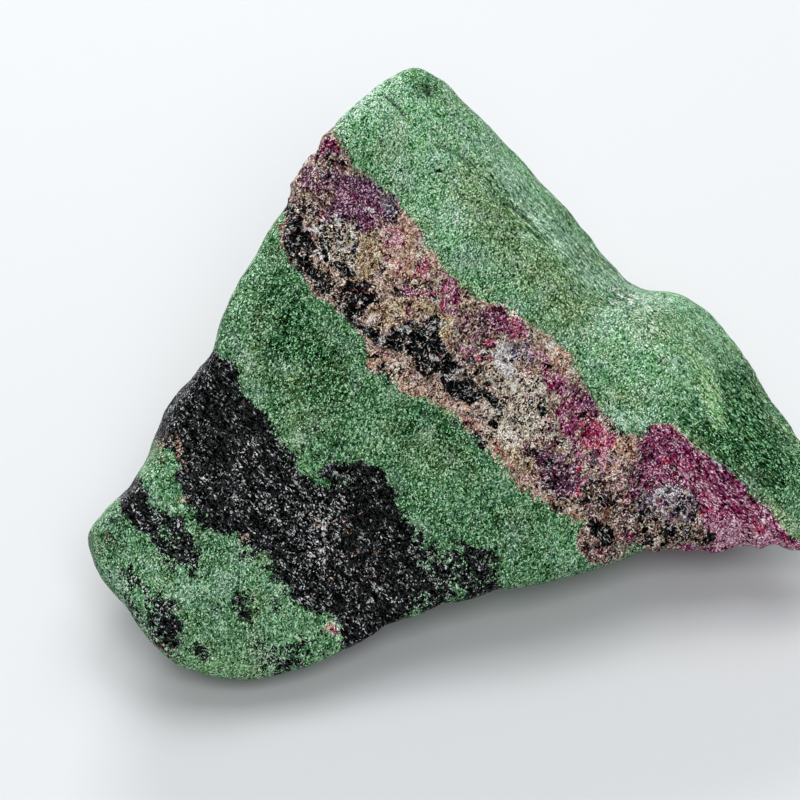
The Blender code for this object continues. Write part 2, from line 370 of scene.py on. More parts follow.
@dataclass(frozen=True)
class StoneForm:
    """The whole form of the stone, as its solid has it.

    Attributes:
        centre: mm across, up and out from which the block's planes are set out.
        rounding: a higher power leaves sharper edges between the planes.
        weathering: the lumps of weathering, coarse to fine.
        ledge_wander: how the ledges' planes waver.
        outline_steps: how many even bearings the outline is read at.
        outline_softness: how softly the outline itself is followed, in radians.
        loose_softness: how softly the sides and the front follow it, in radians.
        hold: a higher power lets go of the outline sooner, away from the furthest points.
        search_lift: degrees either side of the face's plane where the furthest points lie.
        search_steps: how many lifts are tried there.
        front_edge: the share of a direction that points out from which the front is whole.
        band: the rugged band of ruby.
    """

    centre: tuple[float, float, float] = (4.8, -2.4, -6.0)
    rounding: float = 14.0
    weathering: tuple[Lumps, ...] = (Lumps(24.0, 1.5, 3), Lumps(11.0, 0.75, 8), Lumps(5.5, 0.36, 21))
    ledge_wander: Lumps = Lumps(9.0, 2.0, 5)
    outline_steps: int = 720
    outline_softness: float = math.radians(0.9)
    loose_softness: float = math.radians(9.0)
    hold: float = 4.0
    search_lift: float = 60.0
    search_steps: int = 81
    front_edge: float = 0.25
    band: BandForm = BandForm()

    def rounded_block(self, directions: Array) -> Array:
        """The block's reach along each direction: (sum of (n.d / reach)^p)^(-1/p) over its planes."""
        face = np.array([unit(plane.bearing, plane.lift) for plane in FACE_PLANES])
        ground = np.array([unit(plane.bearing, plane.lift) for plane in GROUND_PLANES])
        normals = np.vstack([face, ground @ FACE.axes.T])
        reach = np.array([plane.reach for plane in FACE_PLANES + GROUND_PLANES])
        facing = np.maximum(directions @ normals.T, 0.0) / reach
        return (facing**self.rounding).sum(axis=1) ** (-1.0 / self.rounding)

    def weathered_reach(self, directions: Array) -> Array:
        """The block's reach, cut back at its ledges and with the lumps of weathering added."""
        reach = self.rounded_block(directions)
        points = directions * reach[:, None]
        wander = self.ledge_wander.at(points)
        for ledge in LEDGES:
            normal = FACE.axes @ unit(ledge.bearing, ledge.lift)
            past = points @ normal - ledge.reach + wander
            reach = reach - ledge.depth * smoothstep(-ledge.width / 2, ledge.width / 2, past)
        return reach + summed(self.weathering, points)

    def outline_radius(self) -> tuple[Array, Array]:
        """Even bearings round the centre, and the distance to the outline at each, in mm."""
        across, up = (np.array(OUTLINE) - self.centre[:2]).T
        bearing, radius = np.arctan2(up, across), np.hypot(across, up)
        order = np.argsort(bearing)
        turn = np.linspace(-math.pi, math.pi, self.outline_steps, endpoint=False)
        radius = np.interp(turn, bearing[order], radius[order], period=2 * math.pi)
        return turn, softened(radius, self.outline_softness)

    def stretch_to_outline(self, points: Array) -> Array:
        """Scale the points away from the line that points out of the face, so that the furthest
        point at each bearing lies on the outline. A point at a share s of that distance follows
        the outline by s^hold and a softer scale by the rest.

        Args:
            points: rows of mm across, up and out from the centre.

        Returns:
            The moved points.
        """
        turn, target = self.outline_radius()
        lifts = np.radians(np.linspace(-self.search_lift, self.search_lift, self.search_steps))
        turns, rises = np.meshgrid(turn, lifts, indexing="ij")
        level = np.cos(rises)
        directions = np.stack([level * np.cos(turns), level * np.sin(turns), np.sin(rises)], axis=-1)
        radius = self.weathered_reach(directions.reshape(-1, 3)).reshape(turns.shape) * level
        furthest = radius.max(axis=1)
        close = target / furthest
        loose = softened(close, self.loose_softness)
        bearing = np.arctan2(points[:, 1], points[:, 0])
        limit = np.interp(bearing, turn, furthest, period=2 * math.pi)
        share = (np.hypot(points[:, 0], points[:, 1]) / limit) ** self.hold
        close = np.interp(bearing, turn, close, period=2 * math.pi)
        loose = np.interp(bearing, turn, loose, period=2 * math.pi)
        scale = loose + share * (close - loose)
        return points * np.stack([scale, scale, np.ones_like(scale)], axis=1)

    def surface(self, directions: Array) -> Array:
        """Each direction's point on the stone, in mm across, up and out of the face's frame."""
        reach = self.weathered_reach(directions)
        points = self.stretch_to_outline(directions * reach[:, None]) + self.centre
        rise = summed(SWELLS, points) + self.band.rise(points)
        points[:, 2] += rise * smoothstep(0.0, self.front_edge, directions[:, 2])
        return points


FORM = StoneForm()


# ---------------------------------------------------------------------------------------------
# Its minerals
# ---------------------------------------------------------------------------------------------


class Mineral(Enum):
    """What grows in the green zoisite, in the order in which one covers another. Three of
    them tint the zoisite; the others take whole grains."""

    OLIVE = "olive_zoisite"
    # paler zoisite, and painted sheen and painted light where the rock's edges catch it
    PALE_AND_SHEEN = "pale_zoisite"
    TAN = "tan_feldspar"
    TAUPE = "taupe_feldspar"
    GOLD = "ochre_feldspar"
    PEACH = "peach_feldspar"
    CREAM = "cream_feldspar"
    SLATE = "slate_corundum"
    PLUM = "plum_ruby"
    RUBY = "ruby"
    ROSE = "rose_ruby"
    BRIGHT_RUBY = "bright_ruby"
    HORNBLENDE = "hornblende"
    WHITE = "white_feldspar"
    RUST = "iron_stain"
    APPLE = "apple_zoisite"


Table = dict[Mineral, tuple[tuple[int, ...], ...]]
TINTS = (Mineral.OLIVE, Mineral.PALE_AND_SHEEN, Mineral.APPLE)
RUBIES = (Mineral.PLUM, Mineral.RUBY, Mineral.ROSE, Mineral.BRIGHT_RUBY)
SHADE = "zoisite_shade"
FIBRE = "zoisite_fibre"
STRANDS = "strand_share"


@dataclass(frozen=True)
class Growth:
    """One growth of a mineral, as it shows on the face.

    Attributes:
        mineral: what it is.
        fill: the share of the grains that it takes in its middle.
        edge: over how many mm to either side its border thins out.
        drawing: the numbers that it is drawn by, in mm.
        reach: how deep it goes, for each mm of its width and at least, in mm.
        fade: how far past that depth it has gone, as a share.
    """

    mineral: Mineral
    fill: float
    edge: float
    drawing: Array
    reach: Point = (0.9, 1.5)
    fade: float = 1.6

    @classmethod
    def grown(cls, table: Table) -> list["Growth"]:
        """The growths of a table. Each row has the fill and the edge in hundredths, then the
        drawing in tenths.

        Args:
            table: the rows of each mineral.

        Returns:
            One growth for each row.
        """
        return [cls(mineral, row[0] / 100, row[1] / 100, np.array(row[2:]) / 10)
                for mineral, rows in table.items() for row in rows]

    @property
    def corners(self) -> Array:
        """Points that its bounding box holds: those of its walk, in mm across and up."""
        return self.drawing.reshape(-1, 2)

    def inside_by(self, points: Array) -> Array:
        """How far inside the growth each point lies, in mm, less than 0 outside."""
        raise NotImplementedError

    def share(self, points: Array, depth: Array) -> Array:
        """The share of the grains that it takes: fill times a smooth step over its border, fading
        where the rock is deeper than the growth is wide.

        Args:
            points: rows of mm across and up, as the face shows them.
            depth: how far each point lies below the rim of the face, in mm.

        Returns:
            A share between 0 and 1 for each point.
        """
        low, high = self.corners.min(axis=0), self.corners.max(axis=0)
        near = np.all((points > low - 2 * self.edge) & (points < high + 2 * self.edge), axis=1)
        reach = self.reach[0] * (high - low).min() + self.reach[1]
        total = np.zeros(len(points))
        step = smoothstep(-self.edge, self.edge, self.inside_by(points[near]))
        total[near] = self.fill * step * (1.0 - smoothstep(reach, self.fade * reach, depth[near]))
        return total


class Patch(Growth):
    """A growth inside an outline, drawn by a walk round it."""

    def inside_by(self, points: Array) -> Array:
        """The distance to the nearest side, with the sign of an even-odd count of the sides that
        a line running across from the point would cross."""
        nearest = np.full(len(points), np.inf)
        inside = np.zeros(len(points), dtype=bool)
        for start, end in zip(self.corners, np.roll(self.corners, -1, axis=0)):
            nearest = np.minimum(nearest, from_run(points, start, end)[0])
            run = end - start
            if run[1]:
                level = (start[1] > points[:, 1]) != (end[1] > points[:, 1])
                crossing = start[0] + (points[:, 1] - start[1]) / run[1] * run[0]
                inside ^= level & (points[:, 0] < crossing)
        return np.where(inside, nearest, -nearest)


class Streak(Growth):
    """A thin growth along a path. Its edge is its half-width."""

    def inside_by(self, points: Array) -> Array:
        """The half-width less the distance to the nearest run of the path."""
        runs = zip(self.corners, self.corners[1:])
        return self.edge - np.min([from_run(points, *run)[0] for run in runs], axis=0)


class Spot(Growth):
    """An oval growth, drawn by its middle, its half-length, its half-width and how far its length
    is turned from across, in degrees."""

    @property
    def corners(self) -> Array:
        """The corners of a square that holds the oval."""
        return self.drawing[:2] + self.drawing[2:4].max() * np.array([(-1, -1), (1, 1)])

    def inside_by(self, points: Array) -> Array:
        """(1 - sqrt((s / a)^2 + (t / b)^2)) times the smaller half, on turned axes."""
        middle, half, turn = self.drawing[:2], self.drawing[2:4], math.radians(self.drawing[4])
        axes = np.array([(math.cos(turn), -math.sin(turn)), (math.sin(turn), math.cos(turn))])
        away = np.linalg.norm((points - middle) @ axes / half, axis=1)
        return (1.0 - away) * half.min()


# The growths' rows: fill and edge in hundredths, then across, up, across, up... in tenths of a mm.
PATCHES: Table = {
    Mineral.TAN: (
        (100, 40, -120, 336, -94, 326, -77, 324, -71, 310, -62, 298, -58, 286, -46, 274, -34, 263, -19,
         252, -8, 248, -1, 236, 1, 224, 10, 221, 17, 214, 23, 202, 29, 186, 38, 174, 49, 163, 60, 150,
         76, 133, 94, 120, 110, 114, 124, 110, 132, 101, 149, 96, 168, 82, 187, 68, 202, 55, 208, 38,
         217, 24, 228, 10, 236, -6, 247, -20, 262, -36, 281, -44, 293, -36, 302, -29, 317, -26, 331,
         -36, 348, -50, 365, -62, 379, -73, 394, -86, 408, -100, 422, -113, 437, -130, 451, -144, 468,
         -163, 485, -175, 528, -206, 576, -240, 528, -288, 360, -264, 300, -210, 288, -172, 274, -169,
         258, -175, 245, -190, 228, -196, 216, -185, 210, -170, 214, -156, 226, -146, 214, -144, 199,
         -139, 187, -130, 175, -120, 163, -113, 154, -101, 137, -91, 125, -77, 118, -62, 103, -48, 89,
         -36, 74, -24, 62, -10, 48, -2, 34, 5, 17, 5, 4, 12, 0, 24, -7, 34, -17, 38, -29, 31, -36, 36,
         -35, 50, -38, 65, -46, 79, -58, 94, -74, 106, -84, 115, -94, 122, -106, 134, -118, 149, -131,
         163, -137, 178, -143, 192, -144, 209, -137, 223, -131, 238, -150, 252),
    ),
    Mineral.TAUPE: (
        (85, 30, -98, 288, -70, 295, -65, 283, -72, 266, -86, 259, -96, 269),
        (85, 50, 238, -74, 288, -79, 294, -96, 288, -122, 300, -144, 290, -163, 262, -169, 254, -149,
         240, -132, 221, -130, 211, -118, 216, -96, 226, -79),
        (70, 50, 67, 106, 101, 106, 107, 77, 98, 46, 79, 38, 67, 60),
        (80, 30, 212, -163, 228, -161, 240, -175, 259, -173, 288, -158, 302, -173, 281, -187, 245,
         -197, 221, -192),
        (55, 40, -122, 252, -98, 254, -77, 233, -79, 202, -110, 199, -120, 226),
    ),
    Mineral.GOLD: (
        (90, 40, -48, 204, -31, 204, -23, 187, -20, 166, -25, 149, -38, 143, -52, 150, -53, 170, -49,
         188),
        (85, 40, -24, 122, -5, 119, 24, 121, 50, 118, 67, 98, 68, 82, 61, 65, 50, 74, 48, 94, 36, 101,
         14, 98, -2, 91, -17, 86, -31, 91, -36, 106),
        (75, 50, 124, -53, 146, -58, 158, -74, 163, -96, 144, -88, 130, -72),
    ),
    Mineral.PEACH: (
        (90, 40, -22, 206, -7, 216, 7, 221, 17, 214, 23, 199, 28, 182, 41, 173, 49, 161, 41, 154, 36,
         168, 22, 170, 14, 149, 2, 139, -12, 146, -22, 163, -25, 185),
        (100, 30, 146, 98, 168, 83, 187, 68, 203, 54, 209, 37, 199, 26, 190, 34, 180, 50, 168, 67, 154,
         79),
        (80, 40, 253, -43, 270, -46, 284, -56, 281, -72, 266, -79, 259, -91, 245, -89, 245, -72, 251,
         -56),
        (55, 30, -113, 227, -84, 227, -83, 203, -107, 200),
    ),
    Mineral.CREAM: (
        (95, 50, 103, 34, 120, 34, 144, 34, 166, 29, 175, 12, 170, -10, 175, -29, 158, -46, 137, -55,
         120, -50, 106, -34, 101, -17, 113, -2, 127, -5, 118, 12, 103, 19),
        (70, 40, -106, 221, -53, 223, -48, 173, -58, 156, -79, 158, -94, 166, -98, 182, -103, 202),
    ),
    Mineral.WHITE: (
        (100, 35, 116, 67, 132, 70, 133, 53, 127, 48, 138, 42, 140, 29, 127, 25, 118, 38, 114, 53),
    ),
    Mineral.SLATE: (
        (85, 30, -62, 277, -46, 269, -24, 254, -8, 250, -1, 235, -6, 221, -17, 212, -20, 233, -36, 251,
         -58, 264),
        (70, 40, 126, 67, 137, 72, 152, 70, 164, 58, 163, 44, 144, 44, 130, 50),
        (70, 30, 217, -64, 240, -61, 242, -76, 226, -82),
        (75, 70, 288, -103, 307, -94, 331, -96, 350, -106, 362, -121, 365, -137, 348, -145, 326, -148,
         305, -144, 288, -134),
        (65, 40, 286, -43, 302, -32, 317, -30, 334, -41, 317, -47, 300, -47),
    ),
    Mineral.PLUM: (
        (100, 40, -78, 264, -65, 272, -46, 263, -28, 251, -20, 234, -22, 221, -25, 211, -35, 203, -48,
         204, -54, 215, -66, 215, -74, 224, -79, 236, -73, 248),
        (70, 40, -119, 274, -106, 284, -92, 276, -90, 262, -98, 252, -113, 251, -122, 260),
        (85, 50, 168, -65, 216, -60, 221, -94, 212, -114, 188, -116, 174, -104, 163, -84),
        (75, 40, 204, 17, 221, 13, 234, -2, 240, -17, 228, -20, 216, -11, 206, 2),
        (55, 40, 290, -77, 300, -59, 317, -60, 328, -72, 325, -94, 308, -108, 295, -104),
        (55, 40, 146, -46, 175, -46, 180, -67, 151, -70),
    ),
    Mineral.RUBY: (
        (75, 40, -103, 305, -84, 316, -72, 302, -76, 293, -91, 292, -108, 287),
        (70, 30, 48, 149, 60, 152, 71, 139, 73, 122, 60, 119, 50, 130),
        (60, 40, 0, 139, 14, 143, 26, 132, 38, 139, 49, 125, 43, 119, 24, 121, 8, 122),
        (60, 40, 48, 121, 72, 121, 71, 102, 53, 102),
        (95, 30, 104, 110, 118, 115, 128, 106, 133, 94, 144, 82, 149, 72, 134, 77, 125, 80, 115, 78,
         106, 91, 100, 103),
        (75, 40, 168, 54, 176, 52, 180, 38, 192, 26, 202, 17, 194, 4, 179, 11, 170, 34),
        (70, 50, 192, 2, 216, 10, 238, -19, 216, -29, 214, -62, 202, -48, 187, -24),
        (100, 25, 284, -56, 293, -41, 305, -31, 317, -29, 331, -38, 348, -53, 365, -64, 382, -77, 396,
         -89, 410, -101, 425, -115, 437, -130, 454, -146, 468, -163, 487, -175, 528, -206, 576, -240,
         528, -288, 384, -264, 360, -192, 331, -182, 341, -172, 377, -179, 374, -166, 367, -156, 365,
         -144, 360, -130, 350, -118, 341, -106, 329, -101, 317, -103, 307, -110, 298, -110, 290, -98,
         295, -84, 292, -70),
        (45, 40, 254, -101, 288, -101, 288, -125, 264, -125),
        (30, 60, 67, 94, 108, 94, 108, 46, 79, 41),
        (30, 60, -24, 209, 2, 214, 5, 185, -19, 178),
        (35, 50, -7, 158, 24, 156, 29, 139, 0, 137),
    ),
    Mineral.BRIGHT_RUBY: (
        (100, 30, 216, -29, 230, -22, 247, -32, 263, -44, 254, -56, 242, -68, 230, -62, 220, -53),
        (95, 30, 130, 100, 144, 100, 155, 86, 150, 73, 137, 84),
    ),
    Mineral.ROSE: (
        (90, 50, 379, -144, 410, -146, 439, -154, 463, -168, 487, -182, 468, -192, 420, -187, 374,
         -178, 365, -163),
        (50, 50, 348, -84, 365, -94, 384, -113, 379, -127, 360, -115, 346, -98),
        (40, 40, -22, 209, 2, 214, 10, 185, -14, 175),
    ),
    Mineral.HORNBLENDE: (
        (82, 35, -125, 233, -113, 233, -109, 221, -113, 206, -108, 192, -98, 184, -103, 178, -104, 168,
         -98, 158, -84, 150, -79, 140, -84, 128, -90, 124, -101, 132, -110, 143, -120, 149, -130, 158,
         -136, 173, -139, 188, -140, 204, -136, 215, -126, 222),
        (78, 35, -71, 154, -60, 156, -50, 149, -47, 140, -36, 139, -28, 131, -17, 122, -26, 116, -38,
         110, -43, 101, -41, 91, -29, 84, -31, 74, -41, 77, -53, 86, -65, 98, -72, 110, -79, 120, -77,
         130, -65, 137),
        (90, 25, -32, 83, -17, 80, -2, 85, 5, 94, 14, 98, 26, 89, 38, 101, 49, 101, 48, 89, 49, 72, 60,
         60, 70, 48, 74, 36, 62, 28, 53, 29, 43, 34, 29, 31, 17, 38, 12, 48, 5, 58, -7, 60, -19, 60,
         -34, 70, -43, 82),
        (92, 20, 48, 29, 62, 34, 74, 24, 89, 26, 98, 17, 110, 10, 120, 0, 128, -5, 120, -13, 108, -5,
         96, -2, 86, -5, 74, -2, 65, 2, 55, 12),
        (95, 20, 226, -149, 235, -143, 245, -146, 254, -156, 262, -166, 254, -174, 242, -174, 233,
         -168),
        (55, 60, 281, -132, 302, -134, 324, -144, 348, -142, 365, -149, 377, -158, 386, -172, 360,
         -174, 336, -172, 312, -176, 288, -182, 274, -176, 281, -156),
        (22, 60, 293, -103, 326, -98, 358, -113, 365, -134, 336, -144, 300, -139),
        (12, 50, 101, 34, 144, 31, 175, 12, 173, -12, 182, -36, 158, -48, 120, -50, 103, -24, 113, -5),
        (50, 40, -106, 221, -53, 223, -47, 180, -53, 154, -79, 156, -96, 170, -103, 197),
        (40, 60, 214, -94, 288, -108, 295, -134, 276, -146, 240, -134, 216, -127),
        (20, 50, 168, -65, 216, -60, 221, -94, 212, -114, 188, -116, 174, -104),
        (100, 70, -235, 70, -222, 60, -199, 46, -196, 29, -187, 5, -161, -22, -149, -44, -128, -67,
         -118, -91, -88, -102, -59, -100, -50, -79, -22, -88, -1, -114, 8, -146, 23, -181, 34, -215, 15,
         -250, -10, -310, -65, -310, -77, -259, -106, -253, -128, -242, -140, -218, -152, -198, -158,
         -184, -181, -181, -199, -161, -228, -155, -242, -132, -257, -128, -263, -102, -263, -79, -278,
         -60, -310, -38, -310, 20, -270, 60),
        (75, 100, -6, -138, 14, -146, 38, -174, 48, -187, 61, -174, 84, -168, 114, -181, 122, -216,
         120, -240, 48, -264, 0, -240),
        (80, 50, 77, -178, 103, -175, 120, -192, 120, -228, 96, -235, 72, -210),
        (100, 40, -334, -96, -322, -86, -311, -94, -302, -115, -293, -137, -290, -154, -302, -163,
         -319, -156, -334, -137, -338, -115),
        (85, 90, -300, -134, -269, -134, -250, -154, -242, -175, -233, -209, -245, -214, -264, -199,
         -283, -185, -302, -168),
        (60, 100, -346, -192, -329, -197, -311, -211, -298, -228, -305, -235, -324, -226, -341, -211),
        (88, 70, -302, -238, -283, -233, -266, -247, -259, -271, -264, -295, -278, -300, -295, -283,
         -305, -259),
        (45, 90, -338, -228, -324, -235, -305, -254, -290, -281, -271, -302, -276, -314, -300, -295,
         -319, -269),
        (55, 100, -204, -228, -182, -228, -170, -250, -178, -274, -197, -264),
        (58, 100, -175, -290, -149, -283, -120, -281, -106, -293, -115, -326, -144, -341, -168, -322),
    ),
    Mineral.RUST: (
        (30, 60, -300, -48, -276, -38, -269, -62, -283, -77, -302, -67),
        (3, 120, -120, -120, -60, -114, -24, -144, -18, -216, -60, -240, -108, -204, -132, -156),
    ),
    Mineral.APPLE: (
        (90, 50, 358, 46, 370, 41, 382, 24, 390, 2, 394, -17, 386, -34, 374, -24, 365, -5, 358, 17),
    ),
}
STREAKS: Table = {
    Mineral.PEACH: (
        (80, 75, -32, 46, -14, 44, -2, 29, 7, 17, 26, 13, 46, 5, 62, -6, 79, -20, 94, -34, 108, -50,
         120, -67, 134, -83, 151, -97, 170, -113, 187, -126, 206, -138),
    ),
    Mineral.CREAM: (
        (90, 60, 134, 101, 149, 90, 166, 76, 182, 62),
    ),
    Mineral.WHITE: (
        (80, 20, -48, 236, -36, 229, -25, 224),
        (85, 25, -113, 214, -108, 204, -98, 200, -89, 205),
        (70, 20, -72, 223, -74, 214, -70, 202, -72, 190),
        (60, 20, -65, 170, -58, 161, -50, 151),
        (75, 22, -98, 185, -91, 173, -95, 161),
        (70, 22, -60, 204, -53, 192, -58, 180),
        (60, 20, -84, 214, -77, 223, -67, 226),
        (60, 22, 0, 94, 12, 98, 24, 94),
        (55, 22, -26, 94, -19, 82, -22, 70),
        (50, 20, 30, 60, 38, 50, 50, 46),
    ),
    Mineral.SLATE: (
        (65, 55, 374, -76, 389, -86, 408, -103, 422, -118, 437, -134),
    ),
    Mineral.BRIGHT_RUBY: (
        (45, 90, 331, -74, 346, -89, 358, -110, 374, -134),
    ),
    Mineral.OLIVE: (
        (80, 80, 428, -116, 442, -131, 456, -144, 478, -160, 516, -187),
        (75, 50, 0, 13, 24, 6, 48, -2, 67, -16, 82, -30),
        (50, 35, 10, 224, 20, 214, 28, 194, 38, 176, 56, 157, 79, 133, 98, 119, 125, 114),
        (70, 45, 156, 95, 188, 71, 208, 54, 214, 34),
        (60, 230, 84, 254, 118, 214, 154, 170, 187, 132, 209, 106),
    ),
    Mineral.RUST: (
        (60, 30, -270, -44, -263, -55, -266, -66, -258, -78),
        (55, 35, -146, 211, -142, 196, -137, 179, -130, 164),
        (50, 30, -112, 149, -101, 134, -89, 120),
    ),
    Mineral.APPLE: (
        (50, 50, 348, 58, 360, 41, 370, 22),
    ),
    Mineral.PALE_AND_SHEEN: (
        # painted light from the table along the lobe's lower rim, then painted sheen along the flank
        # and along the crown's edge
        (60, 50, -348, -209, -336, -230, -322, -254, -305, -276),
        (45, 90, 120, 278, 156, 234, 192, 192, 230, 149),
        (30, 60, 66, 338, 96, 306, 126, 276),
    ),
}
# The ovals' rows: fill and edge in hundredths, then across, up, half-length and half-width in
# tenths of a mm, and the turn in tenths of a degree.
SPOTS: Table = {
    Mineral.TAUPE: (
        (85, 50, -82, 278, 19, 22, 200), (50, 50, 5, 134, 14, 10, 200),
        (50, 60, -281, -298, 19, 10, -400), (35, 60, -356, -170, 14, 10, 0),
        (60, 40, -257, -108, 7, 5, 0),
    ),
    Mineral.GOLD: (
        (60, 40, -82, 166, 8, 10, 0), (50, 40, -58, 190, 7, 10, 0),
    ),
    Mineral.PEACH: (
        (60, 40, 151, 10, 12, 8, 300), (70, 40, -84, -272, 6, 7, 0),
    ),
    Mineral.CREAM: (
        (60, 40, 199, -60, 10, 8, 0), (50, 40, 28, 175, 8, 12, -600), (45, 40, 199, 41, 8, 14, 400),
        (100, 40, 122, -17, 22, 17, 0), (90, 40, 125, 17, 17, 12, 0), (80, 50, 161, -2, 19, 17, 0),
        (90, 50, 180, -36, 16, 13, 0), (35, 50, -66, 151, 17, 10, 300), (35, 50, -31, 96, 8, 7, 0),
        (35, 50, -96, 139, 14, 11, 400),
    ),
    Mineral.WHITE: (
        (70, 30, 46, 90, 10, 4, 0), (60, 30, 6, 85, 11, 5, -100), (60, 30, 62, 31, 7, 6, 0),
        (50, 30, -101, 178, 5, 7, 0), (60, 30, 247, -24, 10, 5, -300),
        (15, 60, 326, -110, 22, 11, -300), (20, 50, 257, -77, 10, 7, 0),
        (20, 100, -91, -174, 16, 26, -200), (12, 100, -146, -134, 19, 14, 0),
        (4, 120, -180, -60, 14, 22, -300), (20, 80, -210, -120, 14, 10, 200),
        # the whitish saddle, partly painted sheen
        (26, 100, 281, 118, 34, 11, -120),
    ),
    Mineral.PLUM: (
        (50, 40, 214, -60, 5, 18, 0), (70, 40, -86, 264, 19, 12, 0), (80, 40, -74, 224, 19, 14, 300),
        (80, 40, -31, 214, 17, 10, 300), (55, 40, 110, 96, 17, 14, 400), (50, 40, 5, 132, 12, 8, 0),
        (70, 40, 187, -89, 19, 22, 0), (60, 40, 288, -84, 11, 24, -200),
    ),
    Mineral.RUBY: (
        (70, 30, 188, -102, 6, 5, 0), (50, 30, 180, -34, 8, 5, 0), (50, 30, 240, -182, 10, 5, 0),
        (60, 30, 326, -143, 6, 6, 0), (50, 30, -83, -274, 5, 6, 0),
    ),
    Mineral.BRIGHT_RUBY: (
        (90, 30, 29, 156, 6, 11, 0), (80, 25, 317, -76, 6, 6, 0), (80, 25, 25, 127, 4, 4, 0),
        (80, 25, 53, 115, 5, 5, 0), (70, 25, 218, -84, 5, 7, 0), (80, 25, 210, -112, 6, 6, 0),
        (60, 25, 94, 49, 5, 4, 0), (50, 25, 86, 65, 5, 4, 0), (70, 25, 108, 71, 5, 5, 0),
        (60, 25, -127, 242, 4, 5, 0), (60, 25, -94, 223, 5, 4, 0), (50, 25, -128, 216, 4, 4, 0),
        (60, 25, 436, -155, 11, 6, 0), (60, 25, 271, -163, 10, 6, 0),
    ),
    Mineral.ROSE: (
        (60, 30, 62, 130, 10, 7, -400), (60, 30, 139, 89, 12, 6, -300), (50, 40, 245, -58, 7, 12, 200),
        (50, 30, 10, 132, 10, 6, 0), (40, 40, 84, 98, 12, 7, 0), (45, 40, 199, 14, 7, 17, 200),
        (50, 40, 218, -58, 11, 11, 0), (45, 40, 245, -74, 17, 10, 0), (35, 40, 161, 58, 12, 8, 0),
        (35, 40, 218, -96, 10, 8, 0),
    ),
    Mineral.HORNBLENDE: (
        (90, 25, 170, -12, 6, 10, 0), (80, 25, 193, -49, 6, 6, 0), (70, 25, 212, -58, 4, 7, 0),
        (60, 25, 145, -24, 11, 5, 0), (80, 25, 296, -136, 5, 5, 0), (80, 25, 337, -128, 6, 5, 0),
        (50, 25, -158, 115, 5, 5, 0), (50, 25, -169, 68, 6, 4, 0), (70, 25, 98, -50, 5, 10, 0),
        (50, 25, 66, -25, 6, 4, 0), (30, 25, 34, 370, 8, 6, 0), (30, 25, -36, 166, 4, 12, 0),
        (28, 60, -79, 278, 19, 22, 200), (70, 60, -124, 230, 14, 17, -600),
        (45, 60, -106, 230, 17, 12, 0), (50, 60, -89, 209, 19, 12, 0), (35, 60, 7, 134, 19, 13, 200),
        (40, 60, -50, 94, 11, 8, 400), (35, 60, -31, 55, 14, 11, 400), (45, 60, -12, 34, 14, 14, 400),
        (35, 60, 110, 96, 19, 12, 300), (50, 60, 101, 58, 14, 14, 0), (45, 60, 84, 38, 17, 14, 0),
        (40, 60, 103, 17, 14, 12, 0), (40, 60, 46, 14, 14, 14, 0), (30, 60, 86, -19, 14, 11, 400),
        (45, 60, 103, -41, 17, 12, 0), (25, 60, 144, -60, 12, 10, 0), (40, 60, -31, 154, 12, 10, 0),
        (30, 60, -12, 214, 12, 12, 0), (35, 60, 162, -60, 12, 12, 0), (35, 60, 218, -17, 12, 10, 300),
        (30, 60, 257, -36, 11, 10, 0), (35, 60, 288, -84, 11, 26, -200), (45, 60, 182, -82, 14, 19, 0),
        (45, 60, 187, -103, 19, 17, 0), (45, 60, 161, -98, 14, 12, 0), (45, 60, 194, -127, 19, 12, 0),
        (30, 60, 240, -120, 17, 26, 0), (35, 60, 276, -154, 17, 14, 0), (35, 60, 240, -178, 19, 14, 0),
        (14, 60, -94, -55, 29, 24, -300), (90, 60, -70, -89, 24, 17, 0), (50, 60, -46, -82, 14, 11, 0),
        (40, 60, -86, -94, 14, 10, 0), (95, 60, 46, -211, 26, 19, 0), (80, 60, -144, -206, 17, 14, 0),
        (80, 60, -10, 77, 12, 10, 0), (70, 80, -236, -302, 12, 11, 300),
        (100, 50, -256, -89, 17, 14, -200), (85, 60, -234, -137, 16, 18, 200),
        (50, 60, -180, -178, 16, 13, 0), (40, 60, -269, -197, 17, 11, 300),
        (30, 80, -338, -206, 11, 17, -300), (50, 50, -150, -240, 10, 12, 0),
        (40, 50, -223, -252, 7, 6, 0),
    ),
    Mineral.OLIVE: (
        (35, 50, -77, 288, 11, 17, 200), (70, 40, -34, 47, 5, 14, 0), (50, 140, 302, 84, 26, 17, -150),
        (55, 80, 266, 0, 29, 10, 0), (40, 150, -84, 34, 31, 17, -600), (45, 150, 46, -67, 29, 17, 0),
        (40, 100, 365, -48, 17, 11, -300), (40, 80, -17, 300, 19, 12, 200), (50, 30, 103, 131, 6, 5, 0),
        (40, 100, -130, 24, 17, 12, 0), (30, 100, -58, 120, 12, 10, 0), (35, 100, 144, -12, 17, 10, 0),
        (35, 100, 144, -144, 19, 10, -200), (30, 100, -96, -24, 12, 12, 0),
    ),
    Mineral.RUST: (
        (30, 50, -187, -168, 11, 8, 0), (20, 50, -257, -115, 8, 10, 0), (80, 30, 248, -136, 6, 10, 200),
    ),
    Mineral.APPLE: (
        (35, 80, -226, -322, 31, 10, -50),
    ),
    Mineral.PALE_AND_SHEEN: (
        # partly paler zoisite; the saddle's spot (the first) and the crown edge's spot are painted
        # sheen
        (40, 120, 266, 137, 31, 12, -150), (60, 80, 64, 226, 11, 14, 0),
        (35, 100, 250, 94, 24, 17, 200), (45, 100, 262, -24, 31, 11, 0),
        (50, 60, -48, 355, 31, 11, 420), (50, 50, 134, 113, 11, 6, -200), (35, 80, 5, 270, 12, 17, 0),
        (35, 100, 84, 166, 19, 10, 0), (30, 120, -36, -144, 24, 10, -300),
        (30, 60, -192, 60, 7, 22, 250), (30, 60, -210, -216, 17, 10, -300),
        (35, 60, -346, -144, 14, 8, 400),
    ),
}
